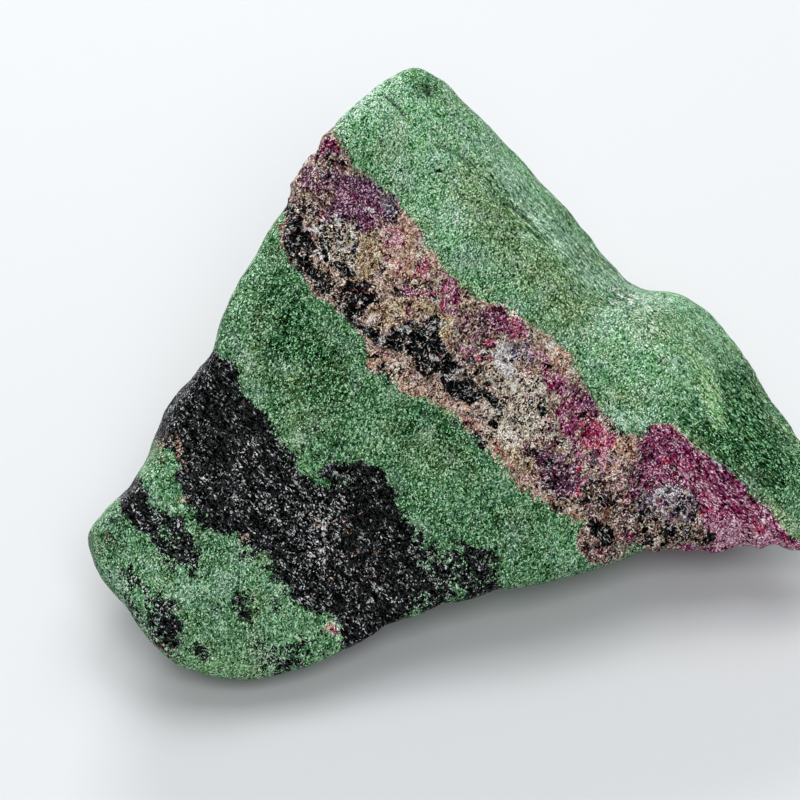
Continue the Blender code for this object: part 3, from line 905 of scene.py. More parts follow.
GROWTHS = Patch.grown(PATCHES) + Streak.grown(STREAKS) + Spot.grown(SPOTS)


class Zone(Enum):
    """Where a mineral is strewn."""

    ROCK = "the green rock"
    BAND = "the band"
    BACK_ROCK = "the green rock below the rim of the face"
    BACK_BAND = "the band below the rim of the face"


@dataclass(frozen=True)
class Strewn:
    """A mineral strewn through a zone of the rock.

    Attributes:
        mineral: what it is.
        zone: where it is strewn.
        wavelength: from one of its nests to the next, in mm.
        seed: which of the patterns of nests this is.
        least: the lumps' value from which it begins.
        full: the lumps' value from which its fill is whole.
        fill: the share of the grains that it takes there.
    """

    mineral: Mineral
    zone: Zone
    wavelength: float
    seed: int
    least: float
    full: float
    fill: float

    def share(self, points: Array) -> Array:
        """The fill times a smooth step, from least to full, of lumps that are 1 high."""
        lumps = Lumps(self.wavelength, 1.0, self.seed)
        return self.fill * smoothstep(self.least, self.full, lumps.at(points))


STREWN = (
    Strewn(Mineral.PALE_AND_SHEEN, Zone.ROCK, 3.0, 121, 0.1, 0.9, 0.3),
    Strewn(Mineral.OLIVE, Zone.ROCK, 5.0, 122, 0.1, 0.9, 0.35),
    Strewn(Mineral.HORNBLENDE, Zone.ROCK, 2.4, 123, 0.3, 0.9, 0.18),
    Strewn(Mineral.HORNBLENDE, Zone.BAND, 1.7, 124, 0.0, 0.6, 0.3),
    Strewn(Mineral.CREAM, Zone.BAND, 1.9, 125, 0.0, 0.6, 0.3),
    Strewn(Mineral.RUBY, Zone.BAND, 2.1, 126, 0.0, 0.6, 0.25),
    Strewn(Mineral.PLUM, Zone.BAND, 2.0, 127, 0.0, 0.6, 0.22),
    Strewn(Mineral.GOLD, Zone.BAND, 2.3, 128, 0.0, 0.6, 0.3),
    Strewn(Mineral.HORNBLENDE, Zone.BACK_ROCK, 15.0, 101, 0.28, 0.55, 0.9),
    Strewn(Mineral.HORNBLENDE, Zone.BACK_ROCK, 5.0, 102, 0.45, 0.75, 0.6),
    Strewn(Mineral.RUBY, Zone.BACK_BAND, 6.5, 111, -0.1, 0.25, 0.9),
    Strewn(Mineral.BRIGHT_RUBY, Zone.BACK_BAND, 4.0, 112, 0.3, 0.6, 0.7),
    Strewn(Mineral.PLUM, Zone.BACK_BAND, 6.0, 113, 0.1, 0.5, 0.7),
    Strewn(Mineral.GOLD, Zone.BACK_BAND, 5.0, 114, 0.1, 0.5, 0.8),
    Strewn(Mineral.PEACH, Zone.BACK_BAND, 5.5, 115, 0.1, 0.5, 0.8),
    Strewn(Mineral.CREAM, Zone.BACK_BAND, 4.5, 116, 0.3, 0.6, 0.6),
    Strewn(Mineral.SLATE, Zone.BACK_BAND, 5.0, 117, 0.3, 0.6, 0.6),
    Strewn(Mineral.HORNBLENDE, Zone.BACK_BAND, 5.0, 118, 0.15, 0.4, 0.9),
)

# Where the green rock is lighter or darker than its middle tone, mostly its own tone but with some
# painted light and shade as noted: mm across and up, half-length, half-width, turn, and the share
# of the way to its lightest or darkest.
SHADE_ROWS = {
    "beside the band and the hornblende": (
        (4.8, 28.8, 14.4, 8.4, -42, 0.22), (4.6, 30.5, 1.9, 1.7, 0, 0.5),
        (-14.6, 17, 1.4, 1.7, 40, -0.3), (6.7, -9.6, 1.9, 1.7, 0, -0.25),
        (14.4, -20.2, 4.1, 1.2, 15, -0.22), (6.7, 19, 2.2, 1.4, 40, 0.28),
        (8.6, 15.1, 1.4, 1.2, 0, 0.25), (0.7, 26.6, 1.2, 1.4, 0, -0.2), (-6, 6.7, 2.9, 1.9, 45, -0.42),
        (-6.7, 1.4, 3.1, 2.2, 0, -0.3), (-12.7, 3.6, 1.7, 1.4, 0, 0.35),
        (-4.6, -2.6, 2.4, 3.1, 20, 0.4), (-9.4, -5.3, 2.6, 2.2, -20, -0.3),
    ),
    "crown and upper rock": (
        # the first row lightens the crown's left edge: painted sheen
        (-4.6, 35.3, 3.6, 1.7, 44, 1), (1.2, 34.6, 4.3, 2.9, -20, 0.42),
        (4.3, 33.8, 1.7, 1.4, -40, 0.4), (-2.9, 33.8, 1.7, 2.4, 40, 0.35),
        (3.2, 37.4, 1.6, 1.1, 20, -0.62), (6.2, 22.6, 1.9, 2.4, -30, 0.25),
        # painted shade: the thin dark line along the crease
        (10.8, 25.2, 6.7, 0.6, -41, -0.25),
    ),
    "flank and saddle": (
        (13, 20.9, 6, 1.7, -48, -0.38), (19.9, 12.2, 1.2, 1.4, -48, 0.15),
        (23, 13.8, 2.9, 1.4, -40, -0.1), (20.6, 19, 8.4, 1.7, -48, -0.3),
        (26.9, 12, 2.6, 1.7, -15, -0.5), (31, 12, 2.6, 1, -5, 0.32), (22.2, 17, 2.4, 1.4, -48, -0.2),
    ),
    "right shoulder, lump and wing": (
        (37.7, 0, 1.3, 3.4, 15, 0.95), (40.8, 1.4, 1.7, 3.6, -15, -0.45),
        (41, 0.6, 4.8, 3.4, -55, -0.6), (42.2, -5.4, 7.2, 3.4, -42, -0.9),
        (46.6, -11.5, 1.9, 1.4, -40, 0.05), (46.2, -14.8, 1.9, 0.8, -40, 0.8),
        (43.8, 0, 3.6, 1.1, -60, 0.05), (36.7, -4.1, 3.6, 1.1, -38, -0.6),
        (28.8, 5.4, 6, 4.1, -30, 0.44), (26.4, -1.7, 4.3, 1.3, -5, 0.58),
    ),
    "left side": (
        (-12, 7.2, 6.5, 5, 60, -0.58), (-10.1, 5.8, 1.9, 1.7, 0, -0.2), (-15, 13.2, 3.6, 3.6, 0, -0.45),
        (-6.6, -1.2, 6.7, 4.3, -45, -0.42),
    ),
    "hornblende": (
        (-9.8, -15.6, 2.9, 5.3, -20, 0.42), (-19.4, -3.6, 3.6, 4.1, -50, -0.2),
        (-22.1, -12, 1.7, 1.9, 0, -0.3), (-4.8, -15.6, 1.7, 4.3, 0, -0.2),
        (-13.8, -3.6, 10.2, 1, -55, -0.08), (-20.4, 8.4, 1.7, 3.6, 60, -0.25),
    ),
    "middle and foot": (
        (3.6, -3.8, 7.2, 3.1, -30, -0.5), (6.7, -11, 3.1, 2.2, -35, 0.15),
        (12, -15, 10.8, 4.8, -20, -0.4), (17.8, -17.3, 3.1, 1.7, 20, 0.1),
    ),
    "lobe and far foot": (
        (-22.2, -24, 7.2, 4.1, -35, -0.12), (-22.2, -18, 2.4, 1.2, -30, -0.2),
        # the second row lightens the lobe's left rim: painted light from the table
        (-34.1, -16.1, 1.6, 2.9, 20, -0.6), (-35.5, -18, 1, 3.4, 0, 0.4),
        (-24, -15.6, 2.4, 1.9, 0, -0.25), (-22.3, -19.7, 1.9, 1.4, 0, -0.2),
        (-26.6, -10.3, 1.7, 1.4, 0, -0.2), (-30.5, -23.5, 2.4, 1.4, -50, 0.25),
        # painted light from the table along the lobe's lower rim
        (-21.4, -32.2, 5.5, 1.1, -5, 0.45),
        (0, -12, 4.1, 2.9, -45, -0.3),
    ),
}
SHADES = [Swell(name, *row) for name, rows in SHADE_ROWS.items() for row in rows]

# Where the zoisite's prisms are long and lie side by side.
FIBROUS = (
    Swell("flank", 19.0, 20.5, 17.0, 4.2, -46.0, 1.0),
    Swell("right slope", 41.0, -2.0, 10.0, 6.0, -48.0, 0.8),
    Swell("above the wing", 36.0, -8.0, 10.0, 2.5, -42.0, 0.4),
    Swell("wing", 39.0, -11.5, 9.0, 3.5, -38.0, 0.5),
)


@dataclass(frozen=True)
class VeinMap:
    """Where each mineral lies on the stone.

    Attributes:
        view: from how far away the growths are drawn, in mm.
        bearings: how many bearings the rim of the face is read at.
        rim_softness: how softly the rim is followed, in radians.
        dip: mm across and up that a vein runs for each mm below the rim.
        warp: how the veins bend below the rim, as mm for each mm of depth.
        wobble: how the borders wobble on the face.
        back_from: mm below the rim where the strewn minerals begin and are whole.
        shade_lumps: how the green rock's tone drifts.
        middle_shade: its middle tone, in the green rock and in the band.
        tint: how strongly the zoisite is tinted where it is darkest, and how much more where
            it is lightest.
        unstranded: how far ruby keeps strands away.
        black_fibres: how fibrous hornblende is.
    """

    view: float = 1000.0
    bearings: int = 180
    rim_softness: float = math.radians(4.0)
    dip: Point = (0.4, -0.5)
    warp: tuple[Lumps, Lumps] = (Lumps(16.0, 0.35, 81), Lumps(16.0, 0.35, 82))
    wobble: tuple[tuple[Lumps, Lumps], ...] = (
        (Lumps(2.4, 0.42, 71), Lumps(2.4, 0.42, 72)),
        (Lumps(1.0, 0.24, 73), Lumps(1.0, 0.24, 74)),
    )
    back_from: Point = (1.0, 5.0)
    shade_lumps: tuple[Lumps, ...] = (Lumps(14.0, 0.12, 91), Lumps(4.0, 0.12, 92))
    middle_shade: Point = (0.54, 0.52)
    tint: Point = (0.25, 1.3)
    unstranded: float = 0.6
    black_fibres: float = 0.5

    def depth_below_rim(self, points: Array) -> Array:
        """How far each point lies behind the rim of the face. The rim is read as the out value of
        the furthest point in each step of bearing, smoothed.

        Args:
            points: rows of mm across, up and out.

        Returns:
            A depth in mm, 0 on the face.
        """
        across, up = (points[:, :2] - FORM.centre[:2]).T
        bearing, radius = np.arctan2(up, across), np.hypot(across, up)
        step = ((bearing / (2 * math.pi) + 0.5) * self.bearings).astype(int) % self.bearings
        order = np.lexsort((radius, step))
        last = np.searchsorted(step[order], np.arange(self.bearings), side="right") - 1
        rim = softened(points[order[last], 2], self.rim_softness)
        turn = (np.arange(self.bearings) + 0.5) / self.bearings * 2 * math.pi - math.pi
        return np.maximum(np.interp(bearing, turn, rim, period=2 * math.pi) - points[:, 2], 0.0)

    def drawn_places(self, points: Array, depth: Array) -> Array:
        """Where each point finds itself in the drawing of the face: seen from the view's distance,
        with the wobble of the borders, and carried along the dip below the rim.

        Args:
            points: rows of mm across, up and out.
            depth: how far each lies below the rim, in mm.

        Returns:
            Rows of mm across and up.
        """
        seen = points[:, :2] * (self.view / (self.view - points[:, 2]))[:, None]
        wobble = sum(np.stack([form.at(points) for form in pair], axis=1) for pair in self.wobble)
        warp = np.stack([form.at(points) for form in self.warp], axis=1)
        return seen + wobble + depth[:, None] * (np.array(self.dip) + warp)

    def shares(self, points: Array) -> dict[str, Array]:
        """Every attribute that the material reads, by name. A mineral's share c becomes
        1/2 - sin(asin(1 - 2 c) / 3), which the smooth step 3 s^2 - 2 s^3 takes back to c, because
        the mean of two chances is nearer to 1/2 than one of them.

        Args:
            points: rows of mm across, up and out.

        Returns:
            The share of each mineral, the green rock's shade and how fibrous it is.
        """
        depth = self.depth_below_rim(points)
        drawn = self.drawn_places(points, depth)
        fields = {mineral.value: np.zeros(len(points)) for mineral in Mineral}
        for growth in GROWTHS:
            name = growth.mineral.value
            fields[name] = np.maximum(fields[name], growth.share(drawn, depth))
        back = smoothstep(*self.back_from, depth)
        band = fields[Mineral.TAN.value]
        zones = {
            Zone.ROCK: 1.0 - band,
            Zone.BAND: band,
            Zone.BACK_ROCK: back * (1.0 - band),
            Zone.BACK_BAND: back * band,
        }
        for nest in STREWN:
            name = nest.mineral.value
            fields[name] = np.maximum(fields[name], nest.share(points) * zones[nest.zone])
        shade = self.middle_shade[0] + summed(self.shade_lumps, points)
        # the swells, some of them painted light and shade
        shade += (1.0 - back) * summed(SHADES, drawn)
        shade += band * (self.middle_shade[1] - shade)
        for mineral in TINTS:
            fields[mineral.value] *= np.clip(self.tint[0] + self.tint[1] * shade, 0.0, 1.0)
        for mineral in Mineral:
            chance = np.clip(fields[mineral.value], 0.0, 1.0)
            fields[mineral.value] = 0.5 - np.sin(np.arcsin(1.0 - 2.0 * chance) / 3.0)
        ruby = sum(fields[mineral.value] for mineral in RUBIES)
        fields[STRANDS] = np.clip(band - self.unstranded * ruby, 0.0, 1.0)
        fields[SHADE] = np.clip(shade, 0.0, 1.0)
        fibre = (1.0 - back) * summed(FIBROUS, drawn)
        fibre += self.black_fibres * fields[Mineral.HORNBLENDE.value]
        fields[FIBRE] = np.clip(fibre, 0.0, 1.0)
        return fields


# ---------------------------------------------------------------------------------------------
# The stone's mesh
# ---------------------------------------------------------------------------------------------


@dataclass(frozen=True)
class FineRelief:
    """The relief that the plain solid leaves out, along the surface's own normals.

    Attributes:
        rock: lumps all over the stone.
        band: knobs and pits of the feldspar and ruby.
        hornblende: the pitted, fibrous hornblende.
        hornblende_depth: how far hornblende lies below the rock beside it, in mm.
        calm_up_to: mm above the floor up to which the relief grows from nothing.
    """

    rock: tuple[Lumps, ...] = (Lumps(3.1, 0.10, 41), Lumps(1.4, 0.06, 42))
    band: tuple[Lumps, ...] = (Lumps(2.3, 0.60, 51), Lumps(1.2, 0.36, 52))
    hornblende: tuple[Lumps, ...] = (Lumps(1.7, 0.14, 61), Lumps(0.9, 0.07, 62))
    hornblende_depth: float = 0.12
    calm_up_to: float = 1.6

    def rise(self, points: Array, fields: dict[str, Array]) -> Array:
        """The sum of the lumps, each kind weighted by its mineral's share.

        Args:
            points: rows of world places in mm.
            fields: the attributes of the vein map.

        Returns:
            How far each point moves out along its normal, in mm.
        """
        band, black = fields[Mineral.TAN.value], fields[Mineral.HORNBLENDE.value]
        rise = summed(self.rock, points)
        rise += band * summed(self.band, points)
        rise += black * (summed(self.hornblende, points) - self.hornblende_depth)
        return rise * smoothstep(0.0, self.calm_up_to, points[:, 2])


@dataclass(frozen=True)
class Stone:
    """The whole stone, one piece.

    Attributes:
        cells: squares along each side of the six grids.
        spread: how far the ball of points is drawn out across, up and out.
        forward: how far the ball is moved out, so that the face gets more of the points.
        rest_round: how softly the underside meets the floor, in mm.
        veins: where its minerals lie.
        relief: its fine relief.
    """

    cells: int = 128
    spread: tuple[float, float, float] = (1.3, 1.05, 0.75)
    forward: float = 0.12
    rest_round: float = 0.35
    veins: VeinMap = VeinMap()
    relief: FineRelief = FineRelief()

    def ball(self) -> tuple[Array, Array]:
        """A ball as the six square grids of a cube, blown up to the sphere by the tangent of an
        even angle, with the points along their shared edges merged.

        Returns:
            The points, as unit vectors, and the corners of each square, walked from outside.
        """
        count = self.cells + 1
        first, second = np.meshgrid(np.arange(count), np.arange(count), indexing="ij")
        squares = []
        for axis in range(3):
            for side in (0, self.cells):
                place = np.empty((count, count, 3), dtype=int)
                place[..., axis] = side
                place[..., (axis + 1) % 3] = first
                place[..., (axis + 2) % 3] = second
                code = (place[..., 0] * count + place[..., 1]) * count + place[..., 2]
                square = np.stack([code[:-1, :-1], code[1:, :-1], code[1:, 1:], code[:-1, 1:]], axis=-1)
                squares.append(square.reshape(-1, 4)[:, :: 1 if side else -1])
        codes, corners = np.unique(np.concatenate(squares), return_inverse=True)
        place = np.stack([codes // count**2, codes // count % count, codes % count], axis=1)
        cube = np.tan((place / self.cells * 2.0 - 1.0) * (math.pi / 4.0))
        return cube / np.linalg.norm(cube, axis=1, keepdims=True), corners.reshape(-1, 4)

    def rested(self, points: Array) -> Array:
        """The points with the underside flat on the floor: z becomes (z + r)^2 / 4r between -r and
        r, stays as it is above and is 0 below."""
        soft = (points[:, 2] + self.rest_round) ** 2 / (4.0 * self.rest_round)
        height = np.where(points[:, 2] > self.rest_round, points[:, 2], soft)
        points[:, 2] = np.where(points[:, 2] < -self.rest_round, 0.0, height)
        return points

    def build(self) -> bpy.types.Object:
        """The stone's mesh, with the share of each mineral as an attribute of its points.

        Returns:
            The stone, its place in its mesh.
        """
        ball, squares = self.ball()
        directions = ball * self.spread + (0.0, 0.0, self.forward)
        directions /= np.linalg.norm(directions, axis=1, keepdims=True)
        face = FORM.surface(directions)
        fields = self.veins.shares(face)
        world = self.rested(FACE.to_world(face))
        mesh = bpy.data.meshes.new(PIECE)
        mesh.from_pydata(world * MM, [], squares)
        normals = np.empty(len(world) * 3, dtype=np.float32)
        mesh.vertex_normals.foreach_get("vector", normals)
        world += self.relief.rise(world, fields)[:, None] * normals.reshape(-1, 3)
        mesh.vertices.foreach_set("co", (world * MM).astype(np.float32).ravel())
        for name, values in fields.items():
            attribute = mesh.attributes.new(name, "FLOAT", "POINT")
            attribute.data.foreach_set("value", values.astype(np.float32))
        mesh.update()
        mesh.shade_smooth()
        stone = bpy.data.objects.new(PIECE, mesh)
        bpy.context.scene.collection.objects.link(stone)
        return stone


# ---------------------------------------------------------------------------------------------
# Its finish
# ---------------------------------------------------------------------------------------------

Socket = bpy.types.NodeSocket
Node = Callable[..., Socket]


def linear(code: str) -> tuple[float, float, float, float]:
    """An sRGB hex colour as linear red, green, blue and an alpha of 1.

    Args:
        code: a hash and six hex digits.

    Returns:
        The colour that a shader socket takes.
    """
    parts = [int(code[place : place + 2], 16) / 255.0 for place in (1, 3, 5)]
    red, green, blue = (p / 12.92 if p <= 0.04045 else ((p + 0.055) / 1.055) ** 2.4 for p in parts)
    return (red, green, blue, 1.0)


def add_node(tree: bpy.types.NodeTree, kind: str, inputs: dict | None = None,
             output: int | str = 0, **settings: object) -> Socket:
    """Add a node with its settings and its links.

    Args:
        tree: the node tree that it joins.
        kind: the node's type, without its "ShaderNode".
        inputs: for a socket's number or name, a value, or the socket that feeds it.
        output: the number or name of the socket that is wanted.
        **settings: the node's own properties.

    Returns:
        The wanted output socket, which also leads to the node.
    """
    node = tree.nodes.new("ShaderNode" + kind)
    for name, value in settings.items():
        setattr(node, name, value)
    for key, value in (inputs or {}).items():
        if isinstance(value, bpy.types.NodeSocket):
            tree.links.new(value, node.inputs[key])
        else:
            node.inputs[key].default_value = value
    return node.outputs[output]


@dataclass(frozen=True)
class GrainFinish:
    """The look of one mineral's grains.

    Attributes:
        dark: its darkest grains, as an sRGB hex colour.
        body: its usual grains.
        light: its light grains.
        painted_glint: a painted glint, the pale colour of its lightest few grains, standing in for
            cleavage faces that catch the light.
        roughness: how dull its grains are, from 0 to 1.
        stops: the tones of those four colours.
    """

    dark: str
    body: str
    light: str
    painted_glint: str
    roughness: float
    stops: tuple[float, float, float, float] = (0.12, 0.46, 0.71, 0.90)


# Zoisite: a sugary mass of green prisms, in a deep and a light shade, each with a painted glint for the
# cleavage faces that catch the light.
ZOISITE_DEEP = GrainFinish("#000601", "#153f1c", "#36723e", "#a4e0a8", 0.5)
ZOISITE_LIGHT = GrainFinish("#144c1e", "#74b87a", "#a4e0aa", "#e2fce6", 0.5)
BLACK_STOPS = (0.24, 0.60, 0.85, 1.0)
BAND_STOPS = (0.15, 0.49, 0.72, 0.92)
# The last colour of each finish is a painted glint: pale grains standing in for cleavage faces that
# catch the light.
FINISHES = {
    Mineral.OLIVE: GrainFinish("#1a3008", "#6c8450", "#9cb67c", "#deeec0", 0.6),
    # paler zoisite, also used for painted sheen and painted light on the rock's edges
    Mineral.PALE_AND_SHEEN: GrainFinish("#40705a", "#9ec6aa", "#ceecd6", "#f8fffa", 0.45),
    Mineral.APPLE: GrainFinish("#1c5420", "#7cb268", "#aede98", "#e8fce0", 0.5),
    # Altered feldspar: dull, crumbly grains from cream to brown, stained by iron.
    Mineral.TAN: GrainFinish("#1c0a04", "#ac8c7a", "#e2c8b6", "#fffaf2", 0.6, BAND_STOPS),
    Mineral.TAUPE: GrainFinish("#120202", "#6c5450", "#a48a7e", "#f6e6dc", 0.6, BAND_STOPS),
    Mineral.GOLD: GrainFinish("#1a0a00", "#be9f7a", "#ecd2aa", "#fffae8", 0.6, BAND_STOPS),
    Mineral.PEACH: GrainFinish("#6c3828", "#d4a890", "#f2d0ba", "#fff8ec", 0.6),
    Mineral.CREAM: GrainFinish("#1a0e08", "#e4d3ba", "#fff6e4", "#ffffff", 0.55, BAND_STOPS),
    Mineral.WHITE: GrainFinish("#544e4e", "#dcd6d6", "#f8f6f4", "#ffffff", 0.5),
    Mineral.RUST: GrainFinish("#2a1208", "#8a6450", "#ba927a", "#f2dccc", 0.7),
    # Ruby: hexagonal crystals, nearly opaque, from plum to a hot pinkish red, with a glassy lustre.
    Mineral.SLATE: GrainFinish("#12060f", "#6c6070", "#a697a8", "#fcf0fc", 0.5, BAND_STOPS),
    Mineral.PLUM: GrainFinish("#10000a", "#5a2846", "#825070", "#f0d0e2", 0.45),
    Mineral.RUBY: GrainFinish("#1e0008", "#842653", "#ba5a88", "#ffe8f2", 0.4, BAND_STOPS),
    Mineral.ROSE: GrainFinish("#5c1632", "#cc82a2", "#e6aec4", "#ffeaf2", 0.4),
    Mineral.BRIGHT_RUBY: GrainFinish("#3c000e", "#bc3464", "#e67c9c", "#ffe8f0", 0.4, BAND_STOPS),
    # Hornblende: black fibres and prisms, glassy on their cleavage, dull between.
    Mineral.HORNBLENDE: GrainFinish("#000000", "#050607", "#2b2e30", "#dce0e0", 0.42, BLACK_STOPS),
}
# Painted shade in small gashes and cracks of the face, finer than the mesh. The height is how dark they
# are.
NICK_SHADOWS = (
    Swell("notch", 4.7, 27.4, 0.72, 0.26, 2.0, 1.0),
    Swell("crown", -0.6, 35.4, 2.1, 0.28, -45.0, 0.6),
    Swell("crown spot", 3.2, 37.2, 0.9, 0.6, -60.0, 0.6),
    Swell("high crease", 5.2, 30.2, 1.7, 0.24, -24.0, 0.6),
    Swell("crease", 8.0, 28.7, 1.7, 0.24, -33.0, 0.6),
    Swell("flank crack", 14.6, 22.2, 2.1, 0.26, -38.0, 0.6),
    Swell("flank crack, low", 16.8, 19.3, 2.1, 0.22, -42.0, 0.45),
)


@dataclass(frozen=True)
class GrainPattern:
    """One pattern of grains in the rock.

    Attributes:
        size: from one grain to the next, in mm.
        stretch: how much longer than wide a grain is.
        turn: where its length points on the face, in degrees from across towards up.
    """

    size: float
    stretch: float
    turn: float


@dataclass(frozen=True)
class Grains:
    """What the patterns of grains say of each place.

    Attributes:
        code: a random colour for each facet or fibre.
        rim: how near its border the place is.
        clot: a random colour for each clot.
        fibrous: how fibrous the rock is.
        stranded: how far light strands wind through it.
    """

    code: Socket
    rim: Socket
    clot: Socket
    fibrous: Socket
    stranded: Socket


@dataclass(frozen=True)
class RockFinish:
    """The material of the whole rock: broken, weathered stone with a sugary grain. Where a field
    has two numbers and says no more, they are what it is at its least and at its most.

    Attributes:
        facets: the facets of the grains, which are 0.4 to 0.6 mm and show three or four each.
        fibres: the longer prisms of the stone's right side and of the hornblende.
        streaks: the lighter and darker streaks that those lie in.
        clots: the grains, and the clots in which finer ones stick together.
        wave: the waves per mm that keep borders from being straight, and their reach in mm.
        clot_say: a clot's say in the tone of its facets, in the green rock, and what strands add.
        mottle: the spots per mm that vary the tone, and by how much.
        strand: the strands per mm, their half-width in the noise, and what one adds to the tone
            in its middle and beside it.
        streaked: what the streaks add to the tone of fibres.
        lowered: how far the tone is lowered, after mottle.
        blackness: what the shade adds to the tone of hornblende.
        clotted: how far a clot goes to one mineral as a whole.
        nick_shadow_edge: where a nick's painted shade is darkest and where it ends, as shares of its
            size.
        gap: how near its border a facet's painted shade starts and where it is darkest.
        painted_facet_light: the brightness painted on a facet, a painted highlight in its middle and
            painted shade at its border.
        hue_by_clot: the clot's say in its hue.
        hue: the shift of hue, where 0.5 is none.
        saturation: how strong the colour of a facet is.
        tilt: how far the facets are turned from the surface, as a share of a unit normal.
        rough: the bumps per mm of the broken surface.
        ruggedness: how high those are in mm, in the green rock, and what strands add.
        rounded: how far a facet drops to its border, in mm.
        refraction: the index of refraction, between zoisite's 1.70 and weathered feldspar's 1.53.
        gloss_from: the tone from which a facet has gloss. Darker ones lie deep between others.
        gloss: the specular level of the lightest facets.
    """

    facets: GrainPattern = GrainPattern(0.14, 1.3, 62.0)
    fibres: GrainPattern = GrainPattern(0.13, 3.6, -44.0)
    streaks: GrainPattern = GrainPattern(0.8, 5.0, -46.0)
    clots: GrainPattern = GrainPattern(0.62, 1.3, 40.0)
    wave: Point = (2.2, 0.45)
    clot_say: Point = (0.04, 0.3)
    mottle: Point = (0.9, 0.45)
    strand: tuple[float, float, float, float] = (1.25, 0.05, 0.42, -0.1)
    streaked: Point = (-0.3, 0.3)
    lowered: float = 0.225
    blackness: Point = (-0.15, 0.14)
    clotted: float = 0.55
    nick_shadow_edge: Point = (0.6, 1.15)
    gap: Point = (0.15, 0.75)
    painted_facet_light: Point = (1.3, 0.45)
    hue_by_clot: float = 0.65
    hue: Point = (0.475, 0.525)
    saturation: Point = (0.8, 1.2)
    tilt: float = 0.9
    rough: float = 1.1
    ruggedness: Point = (0.25, 0.5)
    rounded: float = 0.07
    refraction: float = 1.5
    gloss_from: float = 0.3
    gloss: float = 0.3

    def face_mm(self, node: Node) -> Socket:
        """Object coordinates in mm, turned and moved into the face's frame."""
        return node("Mapping", {
            "Vector": node("TexCoord", output="Object"),
            "Scale": (1.0 / MM,) * 3,
            "Rotation": (FACE.lean - math.pi / 2, 0.0, 0.0),
            "Location": FACE.to_face(np.zeros(3)).tolist(),
        })

    def drawn_out(self, node: Node, place: Socket, pattern: GrainPattern) -> Socket:
        """Coordinates of the pattern's size, drawn out along its turn.

        Args:
            node: adds a node.
            place: coordinates in mm.
            pattern: the grains.

        Returns:
            Coordinates in which a grain is 1 across.
        """
        turn = -math.radians(pattern.turn)
        turned = node("Mapping", {"Vector": place, "Rotation": (0.0, 0.0, turn)})
        count = 1.0 / pattern.size
        scale = (1.0 / (pattern.size * pattern.stretch), count, count)
        return node("VectorMath", {0: turned, 1: scale}, operation="MULTIPLY")

    def cells(self, node: Node, place: Socket, pattern: GrainPattern) -> bpy.types.Node:
        """The Voronoi node whose cells are the pattern's grains."""
        sized = self.drawn_out(node, place, pattern)
        return node("TexVoronoi", {"Vector": sized, "Scale": 1.0}).node

    def wavy(self, node: Node, place: Socket) -> Socket:
        """The place, moved a little by a noise: place + reach * (noise - 1/2)."""
        count, reach = self.wave
        wave = node("TexNoise", {"Vector": place, "Scale": count, "Detail": 1.0}, "Color")
        wave = node("VectorMath", {0: wave, 1: (0.5,) * 3}, operation="SUBTRACT")
        wave = node("VectorMath", {0: wave, "Scale": reach}, operation="SCALE")
        return node("VectorMath", {0: place, 1: wave}, operation="ADD")

    def grains(self, node: Node, place: Socket) -> Grains:
        """The patterns of grains. Fibres replace the facets where the rock is fibrous, clot by
        clot.

        Args:
            node: adds a node.
            place: wavy coordinates in mm.

        Returns:
            What they say of each place.
        """
        facets, fibres, clots = (
            self.cells(node, place, pattern) for pattern in (self.facets, self.fibres, self.clots)
        )
        clot = clots.outputs["Color"]
        fibrous = node("Attribute", output="Fac", attribute_name=FIBRE)
        stranded = node("Attribute", output="Fac", attribute_name=STRANDS)
        pick = node("TexWhiteNoise", {"Vector": clot})
        pick = node("Math", {0: pick, 1: fibrous}, operation="LESS_THAN")
        code = node("Mix", {0: pick, 6: facets.outputs["Color"], 7: fibres.outputs["Color"]},
                    2, data_type="RGBA")
        rim = node("Mix", {0: pick, 2: facets.outputs["Distance"], 3: fibres.outputs["Distance"]})
        return Grains(code, rim, clot, fibrous, stranded)

    def tone(self, node: Node, place: Socket, grains: Grains) -> Socket:
        """How light each facet is: its own chance, mixed with its clot's where strands wind
        through, with what the mottle, the strands and the streaks add.

        Args:
            node: adds a node.
            place: coordinates in mm.
            grains: the patterns of grains.

        Returns:
            A tone from 0 to 1.
        """
        count, mottled = self.mottle
        mottle = node("TexNoise", {"Vector": place, "Scale": count, "Detail": 2.0})
        least, more = self.clot_say
        say = node("Math", {0: grains.stranded, 1: more, 2: least}, operation="MULTIPLY_ADD")
        own, shared = (node("SeparateColor", {0: code}) for code in (grains.code, grains.clot))
        tone = node("Mix", {0: say, 2: own, 3: shared})
        tone = node("Math", {0: mottle, 1: mottled, 2: tone}, operation="MULTIPLY_ADD")

        count, width, inside, beside = self.strand
        winding = node("TexNoise", {"Vector": place, "Scale": count, "Detail": 1.0})
        winding = node("Math", {0: winding, 1: 0.5}, operation="SUBTRACT")
        winding = node("Math", {0: winding}, operation="ABSOLUTE")
        strand = node("MapRange", {"Value": winding, "From Max": width,
                                   "To Min": inside, "To Max": beside})
        strand = node("Math", {0: strand, 1: grains.stranded}, operation="MULTIPLY")
        tone = node("Math", {0: tone, 1: strand}, operation="ADD")

        least, most = self.streaked
        streak = self.drawn_out(node, place, self.streaks)
        streak = node("TexNoise", {"Vector": streak, "Scale": 1.0, "Detail": 1.0})
        streak = node("Math", {0: streak, 1: most - least, 2: least}, operation="MULTIPLY_ADD")
        tone = node("Math", {0: streak, 1: grains.fibrous, 2: tone}, operation="MULTIPLY_ADD")
        return node("Math", {0: tone, 1: self.lowered}, operation="SUBTRACT", use_clamp=True)

